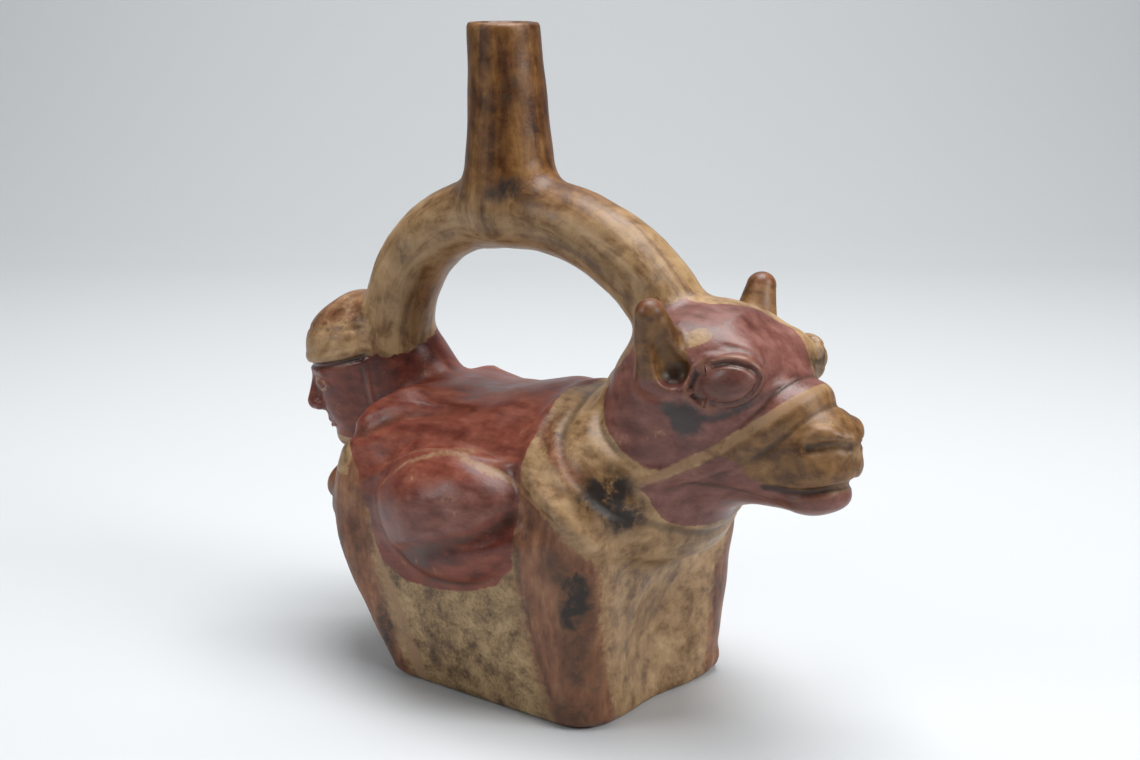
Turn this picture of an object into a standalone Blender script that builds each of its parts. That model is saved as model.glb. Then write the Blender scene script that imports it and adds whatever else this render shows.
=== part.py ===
"""A stirrup-spout bottle of fired clay: a rider bent over the back of a llama.

The bottle is one hollow piece. Liquid runs in at the spout, down both legs of the
stirrup and through the two heads into the body. The clay is worked in the order a
potter would: forms are blocked out and joined, worked into each other, pressed with
relief, and hollowed to an even wall.

Metres, +Z up. The origin is the centre of the flat underside, the llama looks along
+X and its right side is at -Y.
"""

import math
from dataclasses import dataclass

import bmesh
import bpy
import numpy as np
from mathutils import Matrix, Vector

# Body
BACK_HEIGHT = 0.1075
BASE_LENGTH = 0.095
BASE_WIDTH = 0.081
BODY_WIDTH = 0.094
RUMP_OVERHANG = 0.025
CHEST_OVERHANG = 0.0065

# Clay thickness, and how softly the edges are worked
WALL = 0.005
STIRRUP_WALL = 0.0045
SPOUT_WALL = 0.0038
BASE_EDGE = 0.003
UNDERSIDE_FLAT_WITHIN = 0.0001
SHOULDER_EDGE = 0.044
CORNER_EDGE = 0.015
RIM_EDGE = 0.0012

# The llama's head: the middle of its skull, past the chest and over the back, and from there to its nose
LLAMA_HEAD_LENGTH = 0.0645
LLAMA_HEAD_X = BASE_LENGTH / 2 + CHEST_OVERHANG + 0.006
LLAMA_HEAD_Z = BACK_HEIGHT + 0.0045

# The rider's head: its middle, past the rump and under the back, its height from chin to crown,
# and how far it turns to its left and bows, in degrees
RIDER_HEAD_HEIGHT = 0.056
RIDER_HEAD_X = -BASE_LENGTH / 2 - RUMP_OVERHANG - 0.0175
RIDER_HEAD_Z = BACK_HEIGHT - 0.009
RIDER_TURN = 40.0
RIDER_BOW = 12.0

# The stirrup stands in the two heads, and the spout on the stirrup a little behind its top
STIRRUP_DIAMETER = 0.0255
STIRRUP_FOOT_FLARE = 0.0015
STIRRUP_RISE = 0.058
STIRRUP_TOP = BACK_HEIGHT + STIRRUP_RISE
STIRRUP_FRONT_FOOT = (LLAMA_HEAD_X - 0.0035, LLAMA_HEAD_Z + 0.004)
STIRRUP_REAR_FOOT = (RIDER_HEAD_X + 0.013, RIDER_HEAD_Z + 0.0095)
STIRRUP_TOP_X = (STIRRUP_FRONT_FOOT[0] + STIRRUP_REAR_FOOT[0]) / 2 - 0.00375
STIRRUP_FRONT_ROUNDNESS = 2.0
STIRRUP_REAR_ROUNDNESS = 2.2
SPOUT_LENGTH = 0.0645
SPOUT_TOP_DIAMETER = 0.0252
SPOUT_FOOT_DIAMETER = 0.0350
SPOUT_X = STIRRUP_TOP_X - 0.006
SPOUT_LEAN = -0.0028
SPOUT_SINK = 0.009
HEIGHT = STIRRUP_TOP + SPOUT_LENGTH

# The cavity's cutter rises this far past the spout's rim
PAST_RIM = 0.012

# How finely the clay is worked
GRAIN = 0.0016
CAVITY_GRAIN = 0.0032
OUTER_TRIANGLES = 7700
CAVITY_TRIANGLES = 1700


def soft_union(a, b, blend):
    """The union of two distance fields, with a fillet about as wide as blend."""
    overlap = np.maximum(blend - np.abs(a - b), 0.0) / blend
    return np.minimum(a, b) - overlap * overlap * blend * 0.25


def soft_cut(a, b, blend):
    """Field a with field b scooped out of it."""
    return -soft_union(-a, b, blend)


def rounded_corner(a, b, radius):
    """What lies inside both fields, with the edge between them rounded."""
    pair = np.stack((a + radius, b + radius), axis=1)
    return np.linalg.norm(np.maximum(pair, 0.0), axis=1) + np.minimum(pair.max(axis=1), 0.0) - radius


def turn_matrix(yaw=0.0, pitch=0.0, roll=0.0):
    """Axes turned about Z by yaw, nose-down about Y by pitch, then about X by roll, in degrees."""
    turn = Matrix.Rotation(math.radians(yaw), 3, "Z") @ Matrix.Rotation(math.radians(pitch), 3, "Y")
    return np.array(turn @ Matrix.Rotation(math.radians(roll), 3, "X"))


@dataclass(frozen=True)
class Lump:
    """An ellipsoid of clay, in its figure's own measure."""

    centre: tuple
    radii: tuple
    yaw: float = 0.0
    pitch: float = 0.0
    roll: float = 0.0
    blend: float = 0.1
    paired: bool = False
    scoop: bool = False

    def distance(self, q):
        local = (q - np.array(self.centre)) @ turn_matrix(self.yaw, self.pitch, self.roll)
        k0 = np.sqrt(np.square(local / self.radii).sum(axis=1))
        k1 = np.sqrt(np.square(local / np.square(self.radii)).sum(axis=1))
        return k0 * (k0 - 1.0) / np.maximum(k1, 1e-9)

    def balls(self):
        return [(self.centre, self.radii, (self.yaw, self.pitch, self.roll))]


@dataclass(frozen=True)
class Roll:
    """A tapered roll of clay with round ends, in its figure's own measure."""

    start: tuple
    end: tuple
    radius_start: float
    radius_end: float
    blend: float = 0.1
    paired: bool = False
    scoop: bool = False

    def distance(self, q):
        start, along = np.array(self.start), np.array(self.end) - np.array(self.start)
        t = np.clip((q - start) @ along / (along @ along), 0.0, 1.0)
        radius = self.radius_start + t * (self.radius_end - self.radius_start)
        return np.sqrt(np.square(q - start - t[:, None] * along).sum(axis=1)) - radius

    def balls(self, count=6):
        for i in range(count):
            t = i / (count - 1)
            radius = self.radius_start + t * (self.radius_end - self.radius_start)
            yield tuple(Vector(self.start).lerp(Vector(self.end), t)), (radius,) * 3, (0.0, 0.0, 0.0)


@dataclass(frozen=True)
class Line:
    """Relief along a line of points: a ridge if high is above zero, a groove if below."""

    points: tuple
    width: float
    high: float
    fade_start: bool = False
    fade_end: bool = False
    paired: bool = True

    def eased(self, cuts=4):
        """The points with a smooth curve drawn through them."""
        knots = [Vector(p) for p in self.points]
        knots = [2 * knots[0] - knots[1], *knots, 2 * knots[-1] - knots[-2]]
        curve = []
        for a, b, c, d in zip(knots, knots[1:], knots[2:], knots[3:]):
            for i in range(cuts):
                t = i / cuts
                curve.append(0.5 * (2 * b + (c - a) * t + (2 * a - 5 * b + 4 * c - d) * t * t
                                    + (3 * b - a - 3 * c + d) * t ** 3))
        return np.array([*curve, knots[-2]])


@dataclass
class Figure:
    """Forms that share one frame: an origin, a measure along each axis, and a turn in degrees."""

    origin: tuple
    measure: tuple
    reach: float
    forms: list
    lines: list
    yaw: float = 0.0
    pitch: float = 0.0

    def local(self, p):
        return (p - np.array(self.origin)) @ turn_matrix(self.yaw, self.pitch) / self.measure

    def world(self, q):
        return q * self.measure @ turn_matrix(self.yaw, self.pitch).T + np.array(self.origin)

    def scale(self):
        return float(np.mean(self.measure))

    def add_to(self, clay, p):
        """The clay with this figure's forms worked into it."""
        near = np.abs(p - np.array(self.origin)).max(axis=1) < self.reach
        q = self.local(p[near])
        mirrored = np.stack((q[:, 0], np.abs(q[:, 1]), q[:, 2]), axis=1)
        part = clay[near]
        for form in self.forms:
            distance = form.distance(mirrored if form.paired else q) * self.scale()
            part = (soft_cut if form.scoop else soft_union)(part, distance, form.blend * self.scale())
        clay = clay.copy()
        clay[near] = part
        return clay

    def lay_lines(self):
        """Lays each line on the surface that its points are near to."""
        self.laid = []
        for line in self.lines:
            self.laid.append(self.local(settle(self.world(line.eased()), plain_clay, rounds=8)))

    def press(self, clay, p):
        """The clay with this figure's lines raised on it or pressed into it."""
        near = (np.abs(p - np.array(self.origin)).max(axis=1) < self.reach) & (np.abs(clay) < 0.004)
        q = self.local(p[near])
        mirrored = np.stack((q[:, 0], np.abs(q[:, 1]), q[:, 2]), axis=1)
        rise = np.zeros(len(q))
        for line, laid in zip(self.lines, self.laid):
            spots = mirrored if line.paired else q
            low, high = laid.min(axis=0) - line.width, laid.max(axis=0) + line.width
            close = ((spots > low) & (spots < high)).all(axis=1)
            distance, share = path_distance(spots[close], laid)
            bump = np.clip(1.0 - np.square(distance / line.width), 0.0, 1.0) ** 2
            if line.fade_start:
                bump = bump * np.minimum(share * 3.0, 1.0)
            if line.fade_end:
                bump = bump * np.minimum((1.0 - share) * 3.0, 1.0)
            rise[close] += line.high * bump
        clay = clay.copy()
        clay[near] -= rise * self.scale()
        return clay


# The body's own relief, in shares of its length, width and height that come to millimetres
TRUNK = Figure(
    origin=(0.0, 0.0, 0.0),
    measure=(BASE_LENGTH / 95, BODY_WIDTH / 94, BACK_HEIGHT / 107.5),
    reach=3.0 * BASE_LENGTH,
    forms=[
        # The rider's thighs and calves, folded against the llama's flanks
        Lump((-9, 41, 66), (34, 19, 23.5), blend=4, paired=True),
        # The rider's hands on the llama's rump
        Lump((-68, 27.5, 61.5), (13.5, 14, 12.5), blend=4, paired=True),
        # Hind legs and forelegs, in relief at the corners
        Roll((-58, 34, 50), (-38.5, 32.5, 6), 12, 8, blend=3, paired=True),
        Roll((37.5, 32.5, 72), (36.5, 30.5, 8), 15.2, 10, blend=3, paired=True),
        Lump((38, 31, 5.5), (10, 10.2, 6.5), blend=2.5, paired=True),
        # The chest and the neck
        Lump((36, 0, 80), (34, 44, 25), pitch=33, blend=6),
        Roll((48, 0, 88), (64, 0, 110), 30, 27.5, blend=9),
        # The hollow between the forelegs
        Lump((73, 0, 22), (31, 27, 34), blend=8, scoop=True),
        # The small of the rider's back
        Lump((-34, 0, 121.5), (42, 48, 19.5), blend=6, scoop=True),
        Lump((-30, 30, 128), (40, 30, 29.5), blend=6, paired=True, scoop=True),
    ],
    lines=[
        # The edge of the rider's shirt over the thigh, and the fold of the arm above it
        Line(
            ((-56, 46, 62), (-48, 48, 73), (-29, 47, 85), (-6, 45, 92),
             (16, 44, 91), (29, 44, 84), (42, 45, 76)), 3, 1.2),
        Line(((-74, 34, 57), (-55, 32, 83), (-30, 30, 98), (-8, 28, 104)), 6, -2.2, fade_end=True),
        Line(((-80, 22, 80), (-60, 22, 97), (-34, 20, 106)), 5, 1.2, fade_start=True, fade_end=True),
        # The fold behind the rider's knee
        Line(((34, 52, 74), (18, 58, 71), (0, 60, 68), (-16, 60, 66)), 10, -2.8, fade_end=True),
        # Folds of the llama's neck
        Line(
            ((12, 0, 112), (16, 18, 108), (18, 34, 98), (26, 44, 86),
             (44, 46, 74), (58, 38, 62), (66, 18, 53), (68, 0, 50)), 4, 1.4),
        Line(
            ((20, 0, 114), (25, 20, 112), (30, 33, 101), (40, 40, 90),
             (54, 38, 80), (64, 26, 72), (70, 0, 66)), 3.5, -1.8),
        Line(
            ((28, 0, 120), (32, 22, 116), (38, 32, 107),
             (47, 36, 98), (60, 32, 88), (68, 20, 80)), 3.5, 1.5, fade_end=True),
        # Creases under the rider's wrist and beside the legs
        Line(((-96, 10, 52), (-92, 28, 51), (-76, 42, 55)), 3.2, -1.6, fade_end=True),
        Line(((-66, 44, 50), (-56, 42, 30), (-42, 38, 6)), 2.4, -1.0),
        Line(((20, 46, 78), (22, 46, 54), (26, 42, 37), (33, 38, 10)), 2.4, -1.0),
    ],
)

# The llama's head, in shares of its length
LLAMA = Figure(
    origin=(LLAMA_HEAD_X, 0.0, LLAMA_HEAD_Z),
    measure=(LLAMA_HEAD_LENGTH,) * 3,
    reach=1.32 * LLAMA_HEAD_LENGTH,
    forms=[
        Lump((0.085, 0.0, 0.01), (0.49, 0.44, 0.465), blend=0.10),
        Roll((0.18, 0.0, 0.08), (0.74, 0.0, -0.14), 0.39, 0.20, blend=0.12),
        Roll((0.05, 0.0, -0.17), (0.68, 0.0, -0.32), 0.35, 0.185, blend=0.15),
        Roll((0.10, 0.23, 0.21), (0.42, 0.20, 0.21), 0.20, 0.15, blend=0.10, paired=True),
        Lump((0.845, 0.0, -0.095), (0.125, 0.135, 0.085), blend=0.05),
        Lump((0.815, 0.0, -0.25), (0.155, 0.165, 0.105), blend=0.05),
        Lump((0.725, 0.0, -0.40), (0.195, 0.16, 0.095), blend=0.05),
        Lump((0.44, 0.325, 0.18), (0.155, 0.10, 0.12), yaw=-18, pitch=-20, blend=0.012, paired=True),
        Roll((0.09, 0.37, 0.18), (0.07, 0.49, 0.49), 0.16, 0.080, blend=0.04, paired=True),
        Roll((0.205, 0.475, 0.22), (0.14, 0.58, 0.46), 0.088, 0.030, blend=0.025, paired=True, scoop=True),
    ],
    lines=[
        # The noseband
        Line(
            ((0.74, 0.0, 0.13), (0.69, 0.18, 0.07), (0.62, 0.26, -0.03),
             (0.44, 0.32, -0.19), (0.22, 0.37, -0.30), (-0.02, 0.38, -0.37)), 0.085, 0.034),
        # Lids around the eye, mouth and nostrils
        Line(
            ((0.25, 0.40, 0.11), (0.31, 0.39, 0.26), (0.45, 0.36, 0.325),
             (0.58, 0.29, 0.28), (0.62, 0.25, 0.22)), 0.05, 0.018),
        Line(((0.25, 0.40, 0.10), (0.38, 0.39, 0.04), (0.54, 0.33, 0.08), (0.62, 0.25, 0.20)), 0.04, 0.010),
        Line(
            ((0.58, 0.26, -0.385), (0.75, 0.20, -0.365),
             (0.90, 0.13, -0.345), (0.97, 0.0, -0.33)), 0.040, -0.035, fade_start=True),
        Line(((0.84, 0.16, -0.12), (0.93, 0.13, -0.10), (0.985, 0.06, -0.12)), 0.035, -0.035),
    ],
)

# The rider's head, in shares of its height
RIDER = Figure(
    origin=(RIDER_HEAD_X, 0.0, RIDER_HEAD_Z),
    measure=(RIDER_HEAD_HEIGHT,) * 3,
    reach=1.0 * RIDER_HEAD_HEIGHT,
    yaw=180.0 + RIDER_TURN,
    pitch=RIDER_BOW,
    forms=[
        # Skull and cap, then the headcloth at its back
        Lump((-0.02, 0.0, 0.08), (0.385, 0.35, 0.46), blend=0.08),
        Lump((0.06, 0.0, 0.215), (0.345, 0.325, 0.295), blend=0.06),
        Lump((-0.24, 0.0, -0.12), (0.30, 0.36, 0.42), blend=0.12),
        Roll((-0.24, 0.12, -0.06), (-0.44, 0.28, -0.30), 0.31, 0.26, blend=0.12),
        # Face, jaw and chin
        Lump((0.12, 0.0, -0.10), (0.265, 0.28, 0.37), blend=0.06),
        Lump((0.235, 0.0, -0.405), (0.10, 0.12, 0.085), blend=0.08),
        Roll((-0.02, 0.21, -0.22), (0.18, 0.09, -0.40), 0.10, 0.085, blend=0.08, paired=True),
        # Brow, nose, eyes and lips
        Roll((0.355, 0.03, 0.095), (0.295, 0.20, 0.085), 0.035, 0.030, blend=0.04, paired=True),
        Roll((0.345, 0.0, 0.09), (0.425, 0.0, -0.13), 0.042, 0.058, blend=0.04),
        Lump((0.385, 0.055, -0.155), (0.055, 0.040, 0.038), blend=0.02, paired=True),
        Lump((0.325, 0.135, 0.005), (0.050, 0.080, 0.042), yaw=25, blend=0.015, paired=True),
        Roll((0.375, 0.0, -0.265), (0.325, 0.105, -0.285), 0.024, 0.012, blend=0.02, paired=True),
        Roll((0.370, 0.0, -0.310), (0.325, 0.095, -0.300), 0.026, 0.012, blend=0.02, paired=True),
    ],
    lines=[
        # The headband's lower and upper edges, and the headcloth's front edge
        Line(
            ((-0.04, 0.36, 0.17), (0.16, 0.31, 0.15),
             (0.33, 0.15, 0.14), (0.38, 0.0, 0.14)), 0.035, -0.030),
        Line(
            ((-0.06, 0.36, 0.20), (0.16, 0.31, 0.19),
             (0.33, 0.15, 0.185), (0.38, 0.0, 0.185)), 0.050, 0.016),
        Line(
            ((-0.06, 0.34, 0.36), (0.14, 0.27, 0.35),
             (0.28, 0.12, 0.345), (0.32, 0.0, 0.34)), 0.030, -0.006),
        Line(((-0.02, 0.36, 0.16), (-0.01, 0.34, -0.10), (-0.02, 0.29, -0.36)), 0.030, 0.014),
        # Eyelids
        Line(((0.36, 0.07, 0.0), (0.36, 0.13, 0.042), (0.27, 0.22, 0.0)), 0.022, 0.012),
        Line(((0.36, 0.07, -0.005), (0.35, 0.14, -0.038), (0.27, 0.22, -0.005)), 0.020, 0.010),
    ],
)

FIGURES = (TRUNK, LLAMA, RIDER)


def path_distance(p, points):
    """Distance from each of p to a line through points, and the share of the line passed there."""
    points = np.array(points, float)
    lengths = np.linalg.norm(np.diff(points, axis=0), axis=1)
    passed = np.concatenate(([0.0], np.cumsum(lengths)))
    square = (p * p).sum(axis=1)[:, None] - 2.0 * p @ points.T + (points * points).sum(axis=1)
    nearest = square.argmin(axis=1)
    best, share = np.full(len(p), 1e9), np.zeros(len(p))
    for first in (np.maximum(nearest - 1, 0), np.minimum(nearest, len(points) - 2)):
        start = points[first]
        along = points[first + 1] - start
        t = np.clip(((p - start) * along).sum(axis=1) / (along * along).sum(axis=1), 0.0, 1.0)
        distance = np.sqrt(np.square(p - start - t[:, None] * along).sum(axis=1))
        nearer = distance < best
        best[nearer] = distance[nearer]
        share[nearer] = ((passed[first] + t * lengths[first]) / passed[-1])[nearer]
    return best, share


def body_field(p, floor):
    """The chamber: a rounded box that leans out at the rump, the chest and the sides."""
    x, y, z = p.T
    rise = np.clip(z / BACK_HEIGHT, 0.0, 1.0)
    rear = -BASE_LENGTH / 2 - RUMP_OVERHANG * np.sin(np.clip(rise * 1.75, 0.0, 1.0) * math.pi / 2)
    front = BASE_LENGTH / 2 + CHEST_OVERHANG * rise
    widening = np.sin(np.clip(rise * 1.6, 0.0, 1.0) * math.pi / 2)
    side = (BASE_WIDTH + (BODY_WIDTH - BASE_WIDTH) * widening) / 2
    along = np.abs(x - (front + rear) / 2) - (front - rear) / 2
    walls = rounded_corner(along, np.abs(y) - side, CORNER_EDGE)
    return rounded_corner(rounded_corner(walls, floor - z, BASE_EDGE), z - BACK_HEIGHT, SHOULDER_EDGE)


def stirrup_line(steps=20):
    """Points along the middle of the stirrup, from the rider's head over to the llama's."""
    points = []
    for foot, hand, power in (
        (STIRRUP_REAR_FOOT, -1, STIRRUP_REAR_ROUNDNESS),
        (STIRRUP_FRONT_FOOT, 1, STIRRUP_FRONT_ROUNDNESS),
    ):
        span, rise = abs(foot[0] - STIRRUP_TOP_X), STIRRUP_TOP - foot[1]
        leg = []
        for i in range(steps + 1):
            angle = math.pi / 2 * i / steps
            along, up = abs(math.cos(angle)) ** (2 / power), abs(math.sin(angle)) ** (2 / power)
            leg.append((STIRRUP_TOP_X + hand * span * along, 0.0, foot[1] + rise * up))
        points += leg if hand < 0 else leg[-2::-1]
    return points


def stirrup_field(p):
    away = 2.0 * STIRRUP_DIAMETER
    near = (np.abs(p[:, 1]) < away) & (p[:, 2] > BACK_HEIGHT - away)
    result = np.full(len(p), away)
    distance, share = path_distance(p[near], stirrup_line())
    foot = np.abs(2.0 * share - 1.0) ** 4
    result[near] = distance - STIRRUP_DIAMETER / 2 - STIRRUP_FOOT_FLARE * foot
    return result


def spout_width(t):
    return SPOUT_FOOT_DIAMETER + (SPOUT_TOP_DIAMETER - SPOUT_FOOT_DIAMETER) * (1.6 * t - 0.6 * t * t)


def spout_field(p, past=0.0):
    """The spout, ending flat at its rim, or past it."""
    x, y, z = p.T
    t = np.clip((z - STIRRUP_TOP) / (HEIGHT - STIRRUP_TOP), 0.0, 1.0)
    side = np.hypot(x - SPOUT_X - SPOUT_LEAN * t * t, y) - spout_width(t) / 2
    foot = rounded_corner(side, STIRRUP_TOP - SPOUT_SINK - z, SPOUT_SINK + 0.004)
    return rounded_corner(foot, z - HEIGHT - past, RIM_EDGE)


def plain_clay(p, floor=0.0):
    clay = body_field(p, floor)
    for figure in FIGURES:
        clay = figure.add_to(clay, p)
    return clay


def outer_clay(p):
    """All the clay, with its relief."""
    handle = soft_union(stirrup_field(p), spout_field(p), 0.008)
    clay = soft_union(plain_clay(p, floor=-3 * BASE_EDGE), handle, 0.005)
    for figure in FIGURES:
        clay = figure.press(clay, p)
    return rounded_corner(clay, -p[:, 2], BASE_EDGE)


def cavity(p):
    """The hollow inside, open past the rim of the spout."""
    bore = soft_union(stirrup_field(p) + STIRRUP_WALL, spout_field(p, past=PAST_RIM) + SPOUT_WALL, 0.006)
    return soft_union(plain_clay(p) + WALL, bore, 0.004)


def settle(p, field, rounds=2, longest=0.002, step=3e-5):
    """p moved onto the surface of the field."""
    corners = np.array(((1, -1, -1), (-1, -1, 1), (-1, 1, -1), (1, 1, 1))) * step
    for _ in range(rounds):
        around = [field(p + corner) for corner in corners]
        slope = sum(d[:, None] * corner for d, corner in zip(around, corners)) / (4 * step * step)
        size = np.maximum(np.linalg.norm(slope, axis=1), 0.2)
        move = np.clip(sum(around) / (4 * size), -longest, longest)
        p = p - (move / size)[:, None] * slope
    return p


def block_out(name, inset, past):
    """A mesh of overlapping balls, tubes and a box that roughly has the shape, inset from it."""
    ball = bmesh.new()
    bmesh.ops.create_uvsphere(ball, u_segments=24, v_segments=14, radius=1.0)
    template = bpy.data.meshes.new("ball")
    ball.to_mesh(template)
    ball.free()
    block = bmesh.new()

    def add_ball(matrix):
        copy = template.copy()
        copy.transform(matrix)
        block.from_mesh(copy)
        bpy.data.meshes.remove(copy)

    for figure in FIGURES:
        frame = Matrix.Translation(figure.origin) @ Matrix(turn_matrix(figure.yaw, figure.pitch)).to_4x4()
        for form in figure.forms:
            for centre, radii, turn in form.balls():
                sizes = [r * figure.scale() - inset for r in radii]
                if form.scoop or min(sizes) < 0.0025:
                    continue
                local = Matrix.Translation(Vector(centre) * Vector(figure.measure))
                local = local @ Matrix(turn_matrix(*turn)).to_4x4() @ Matrix.Diagonal((*sizes, 1))
                for hand in (1, -1) if form.paired else (1,):
                    add_ball(frame @ Matrix.Diagonal((1, hand, 1, 1)) @ local)
    for point in stirrup_line(16):
        add_ball(Matrix.Translation(point) @ Matrix.Scale(STIRRUP_DIAMETER / 2 - inset, 4))
    steps = 10
    for i in range(steps + 1):
        t = i / steps
        rise = STIRRUP_TOP + (HEIGHT - STIRRUP_TOP) * t + past - 0.002
        middle = Matrix.Translation((SPOUT_X + SPOUT_LEAN * t * t, 0, rise))
        radius = spout_width(t) / 2 - inset
        bmesh.ops.create_cone(
            block, cap_ends=True, segments=32, radius1=radius, radius2=radius, depth=0.010, matrix=middle
        )
    chamber = bmesh.ops.create_cube(block, size=1.0)["verts"]
    for v in chamber:
        high = v.co.z > 0
        lean = (0.8 * RUMP_OVERHANG if v.co.x < 0 else CHEST_OVERHANG) if high else 0.0
        v.co.x = math.copysign(BASE_LENGTH / 2 - inset + lean, v.co.x)
        v.co.y = math.copysign((BODY_WIDTH if high else BASE_WIDTH) / 2 - inset, v.co.y)
        v.co.z = 0.7 * BACK_HEIGHT if high else inset
    middle = Matrix.Translation(((CHEST_OVERHANG - RUMP_OVERHANG) / 2, 0, 0.6 * BACK_HEIGHT))
    spread = (BASE_LENGTH + RUMP_OVERHANG + CHEST_OVERHANG, BODY_WIDTH, 0.8 * BACK_HEIGHT)
    add_ball(middle @ Matrix.Diagonal((*(s / 2 - inset for s in spread), 1)))
    mesh = bpy.data.meshes.new(name)
    block.to_mesh(mesh)
    block.free()
    bpy.data.meshes.remove(template)
    return mesh


def evaluated(obj):
    graph = bpy.context.evaluated_depsgraph_get()
    graph.update()
    return bpy.data.meshes.new_from_object(obj.evaluated_get(graph))


def even_out(mesh, field, rounds):
    """Settles the mesh on the field's surface, with its vertices spread evenly in each round."""
    p = np.empty(len(mesh.vertices) * 3)
    mesh.vertices.foreach_get("co", p)
    p = p.reshape(-1, 3)
    edges = np.empty(len(mesh.edges) * 2, int)
    mesh.edges.foreach_get("vertices", edges)
    a, b = edges.reshape(-1, 2).T
    count = np.bincount(np.concatenate((a, b)), minlength=len(p))[:, None]
    p = settle(p, field, rounds=3, longest=0.003)
    for _ in range(rounds):
        total = np.zeros_like(p)
        for axis in range(3):
            total[:, axis] = np.bincount(a, p[b, axis], len(p)) + np.bincount(b, p[a, axis], len(p))
        p = settle(0.4 * p + 0.6 * total / count, field, rounds=1)
    mesh.vertices.foreach_set("co", settle(p, field, rounds=1).ravel())
    mesh.update()


def worked(name, collection, field, triangles, grain, inset=0.0, past=0.0):
    """A closed mesh of the field's surface."""
    obj = bpy.data.objects.new(name, block_out(name, inset, past))
    collection.objects.link(obj)
    skin = obj.modifiers.new("even_skin", "REMESH")
    skin.mode = "VOXEL"
    skin.voxel_size = grain
    mesh = evaluated(obj)
    obj.modifiers.clear()
    obj.data = mesh
    even_out(mesh, field, rounds=2)
    thin = obj.modifiers.new("thin_out", "DECIMATE")
    thin.ratio = triangles / (2.0 * len(mesh.polygons))
    obj.data = evaluated(obj)
    obj.modifiers.clear()
    return obj


def flatten_underside(mesh):
    """Makes the underside one flat face, as a soft vessel gets it from the board it stands on."""
    clay = bmesh.new()
    clay.from_mesh(mesh)
    for v in clay.verts:
        if v.co.z < UNDERSIDE_FLAT_WITHIN:
            v.co.z = 0.0
    flat = [f for f in clay.faces if all(v.co.z == 0.0 for v in f.verts)]
    bmesh.ops.dissolve_faces(clay, faces=flat)
    clay.to_mesh(mesh)
    clay.free()


def main():
    for obj in list(bpy.data.objects):
        bpy.data.objects.remove(obj)
    vessel_parts = bpy.data.collections.new("stirrup_bottle")
    bpy.context.scene.collection.children.link(vessel_parts)
    for figure in FIGURES:
        figure.lay_lines()
    cutters = bpy.data.collections.new("cutters")
    bpy.context.scene.collection.children.link(cutters)
    bottle = worked("stirrup_bottle", vessel_parts, outer_clay, OUTER_TRIANGLES, GRAIN)
    flatten_underside(bottle.data)
    hollow = worked("hollow", cutters, cavity, CAVITY_TRIANGLES, CAVITY_GRAIN, inset=WALL, past=PAST_RIM)
    hollow.hide_render = True
    hollow.display_type = "WIRE"
    dig = bottle.modifiers.new("dig_out", "BOOLEAN")
    dig.solver = "EXACT"
    dig.operation = "DIFFERENCE"
    dig.object = hollow
    bottle.data.materials.append(fired_clay())


def fired_clay():
    material = bpy.data.materials.new("fired_clay")
    material.use_nodes = True
    shader = material.node_tree.nodes["Principled BSDF"]
    shader.inputs["Base Color"].default_value = (0.36, 0.19, 0.11, 1.0)
    shader.inputs["Roughness"].default_value = 0.42
    return material


main()
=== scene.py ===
"""The look of a stirrup-spout bottle: a rider bent over the back of a llama, in slip-painted clay.

The forms are the solid's own, worked finer, hollowed, and painted with slip where the
bottle has it, with painted shade in creases and hollows and a painted highlight on the thigh. Metres, +Z up.
The llama looks along +X and its right side is at -Y.
"""

from __future__ import annotations

import logging
import math
from collections.abc import Callable
from dataclasses import dataclass, field
from enum import Enum
from typing import Union

import bmesh
import bpy
import numpy as np
from mathutils import Matrix, Vector


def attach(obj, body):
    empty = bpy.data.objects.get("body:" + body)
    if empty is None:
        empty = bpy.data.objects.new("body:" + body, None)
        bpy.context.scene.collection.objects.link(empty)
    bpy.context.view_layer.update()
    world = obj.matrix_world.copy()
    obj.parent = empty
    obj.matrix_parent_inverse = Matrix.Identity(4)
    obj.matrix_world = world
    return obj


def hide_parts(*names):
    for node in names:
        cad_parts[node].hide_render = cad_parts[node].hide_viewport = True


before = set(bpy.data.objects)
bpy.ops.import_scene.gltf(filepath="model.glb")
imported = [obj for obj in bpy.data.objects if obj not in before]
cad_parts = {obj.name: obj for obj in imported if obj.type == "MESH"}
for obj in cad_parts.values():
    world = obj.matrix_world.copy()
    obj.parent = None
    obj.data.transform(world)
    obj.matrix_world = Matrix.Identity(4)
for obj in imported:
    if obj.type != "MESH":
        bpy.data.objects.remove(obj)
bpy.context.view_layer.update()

MM = 0.001
ON_SURFACE = 0.00001
BARE = -9.0
NODE = "stirrup_bottle"
Field = Callable[[np.ndarray], np.ndarray]
Socket = bpy.types.NodeSocket
Value = Union[Socket, float, tuple]
log = logging.getLogger("bottle")


def soft_union(a: np.ndarray, b: np.ndarray, blend: float) -> np.ndarray:
    """The union of two distance fields.

    Args:
        a: One field's values, in metres.
        b: The other's.
        blend: About how wide the fillet between them is.

    Returns:
        The joined field's values.
    """
    overlap = np.maximum(blend - np.abs(a - b), 0.0) / blend
    return np.minimum(a, b) - overlap * overlap * blend * 0.25


def soft_cut(a: np.ndarray, b: np.ndarray, blend: float) -> np.ndarray:
    """Field a with field b scooped out of it."""
    return -soft_union(-a, b, blend)


def rounded_corner(a: np.ndarray, b: np.ndarray, radius: float) -> np.ndarray:
    """What lies inside both fields, with the edge between them rounded.

    Args:
        a: One field's values.
        b: The other's.
        radius: The edge's radius.

    Returns:
        The values of what the two share.
    """
    pair = np.stack((a + radius, b + radius), axis=1)
    return np.linalg.norm(np.maximum(pair, 0.0), axis=1) + np.minimum(pair.max(axis=1), 0.0) - radius


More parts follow.
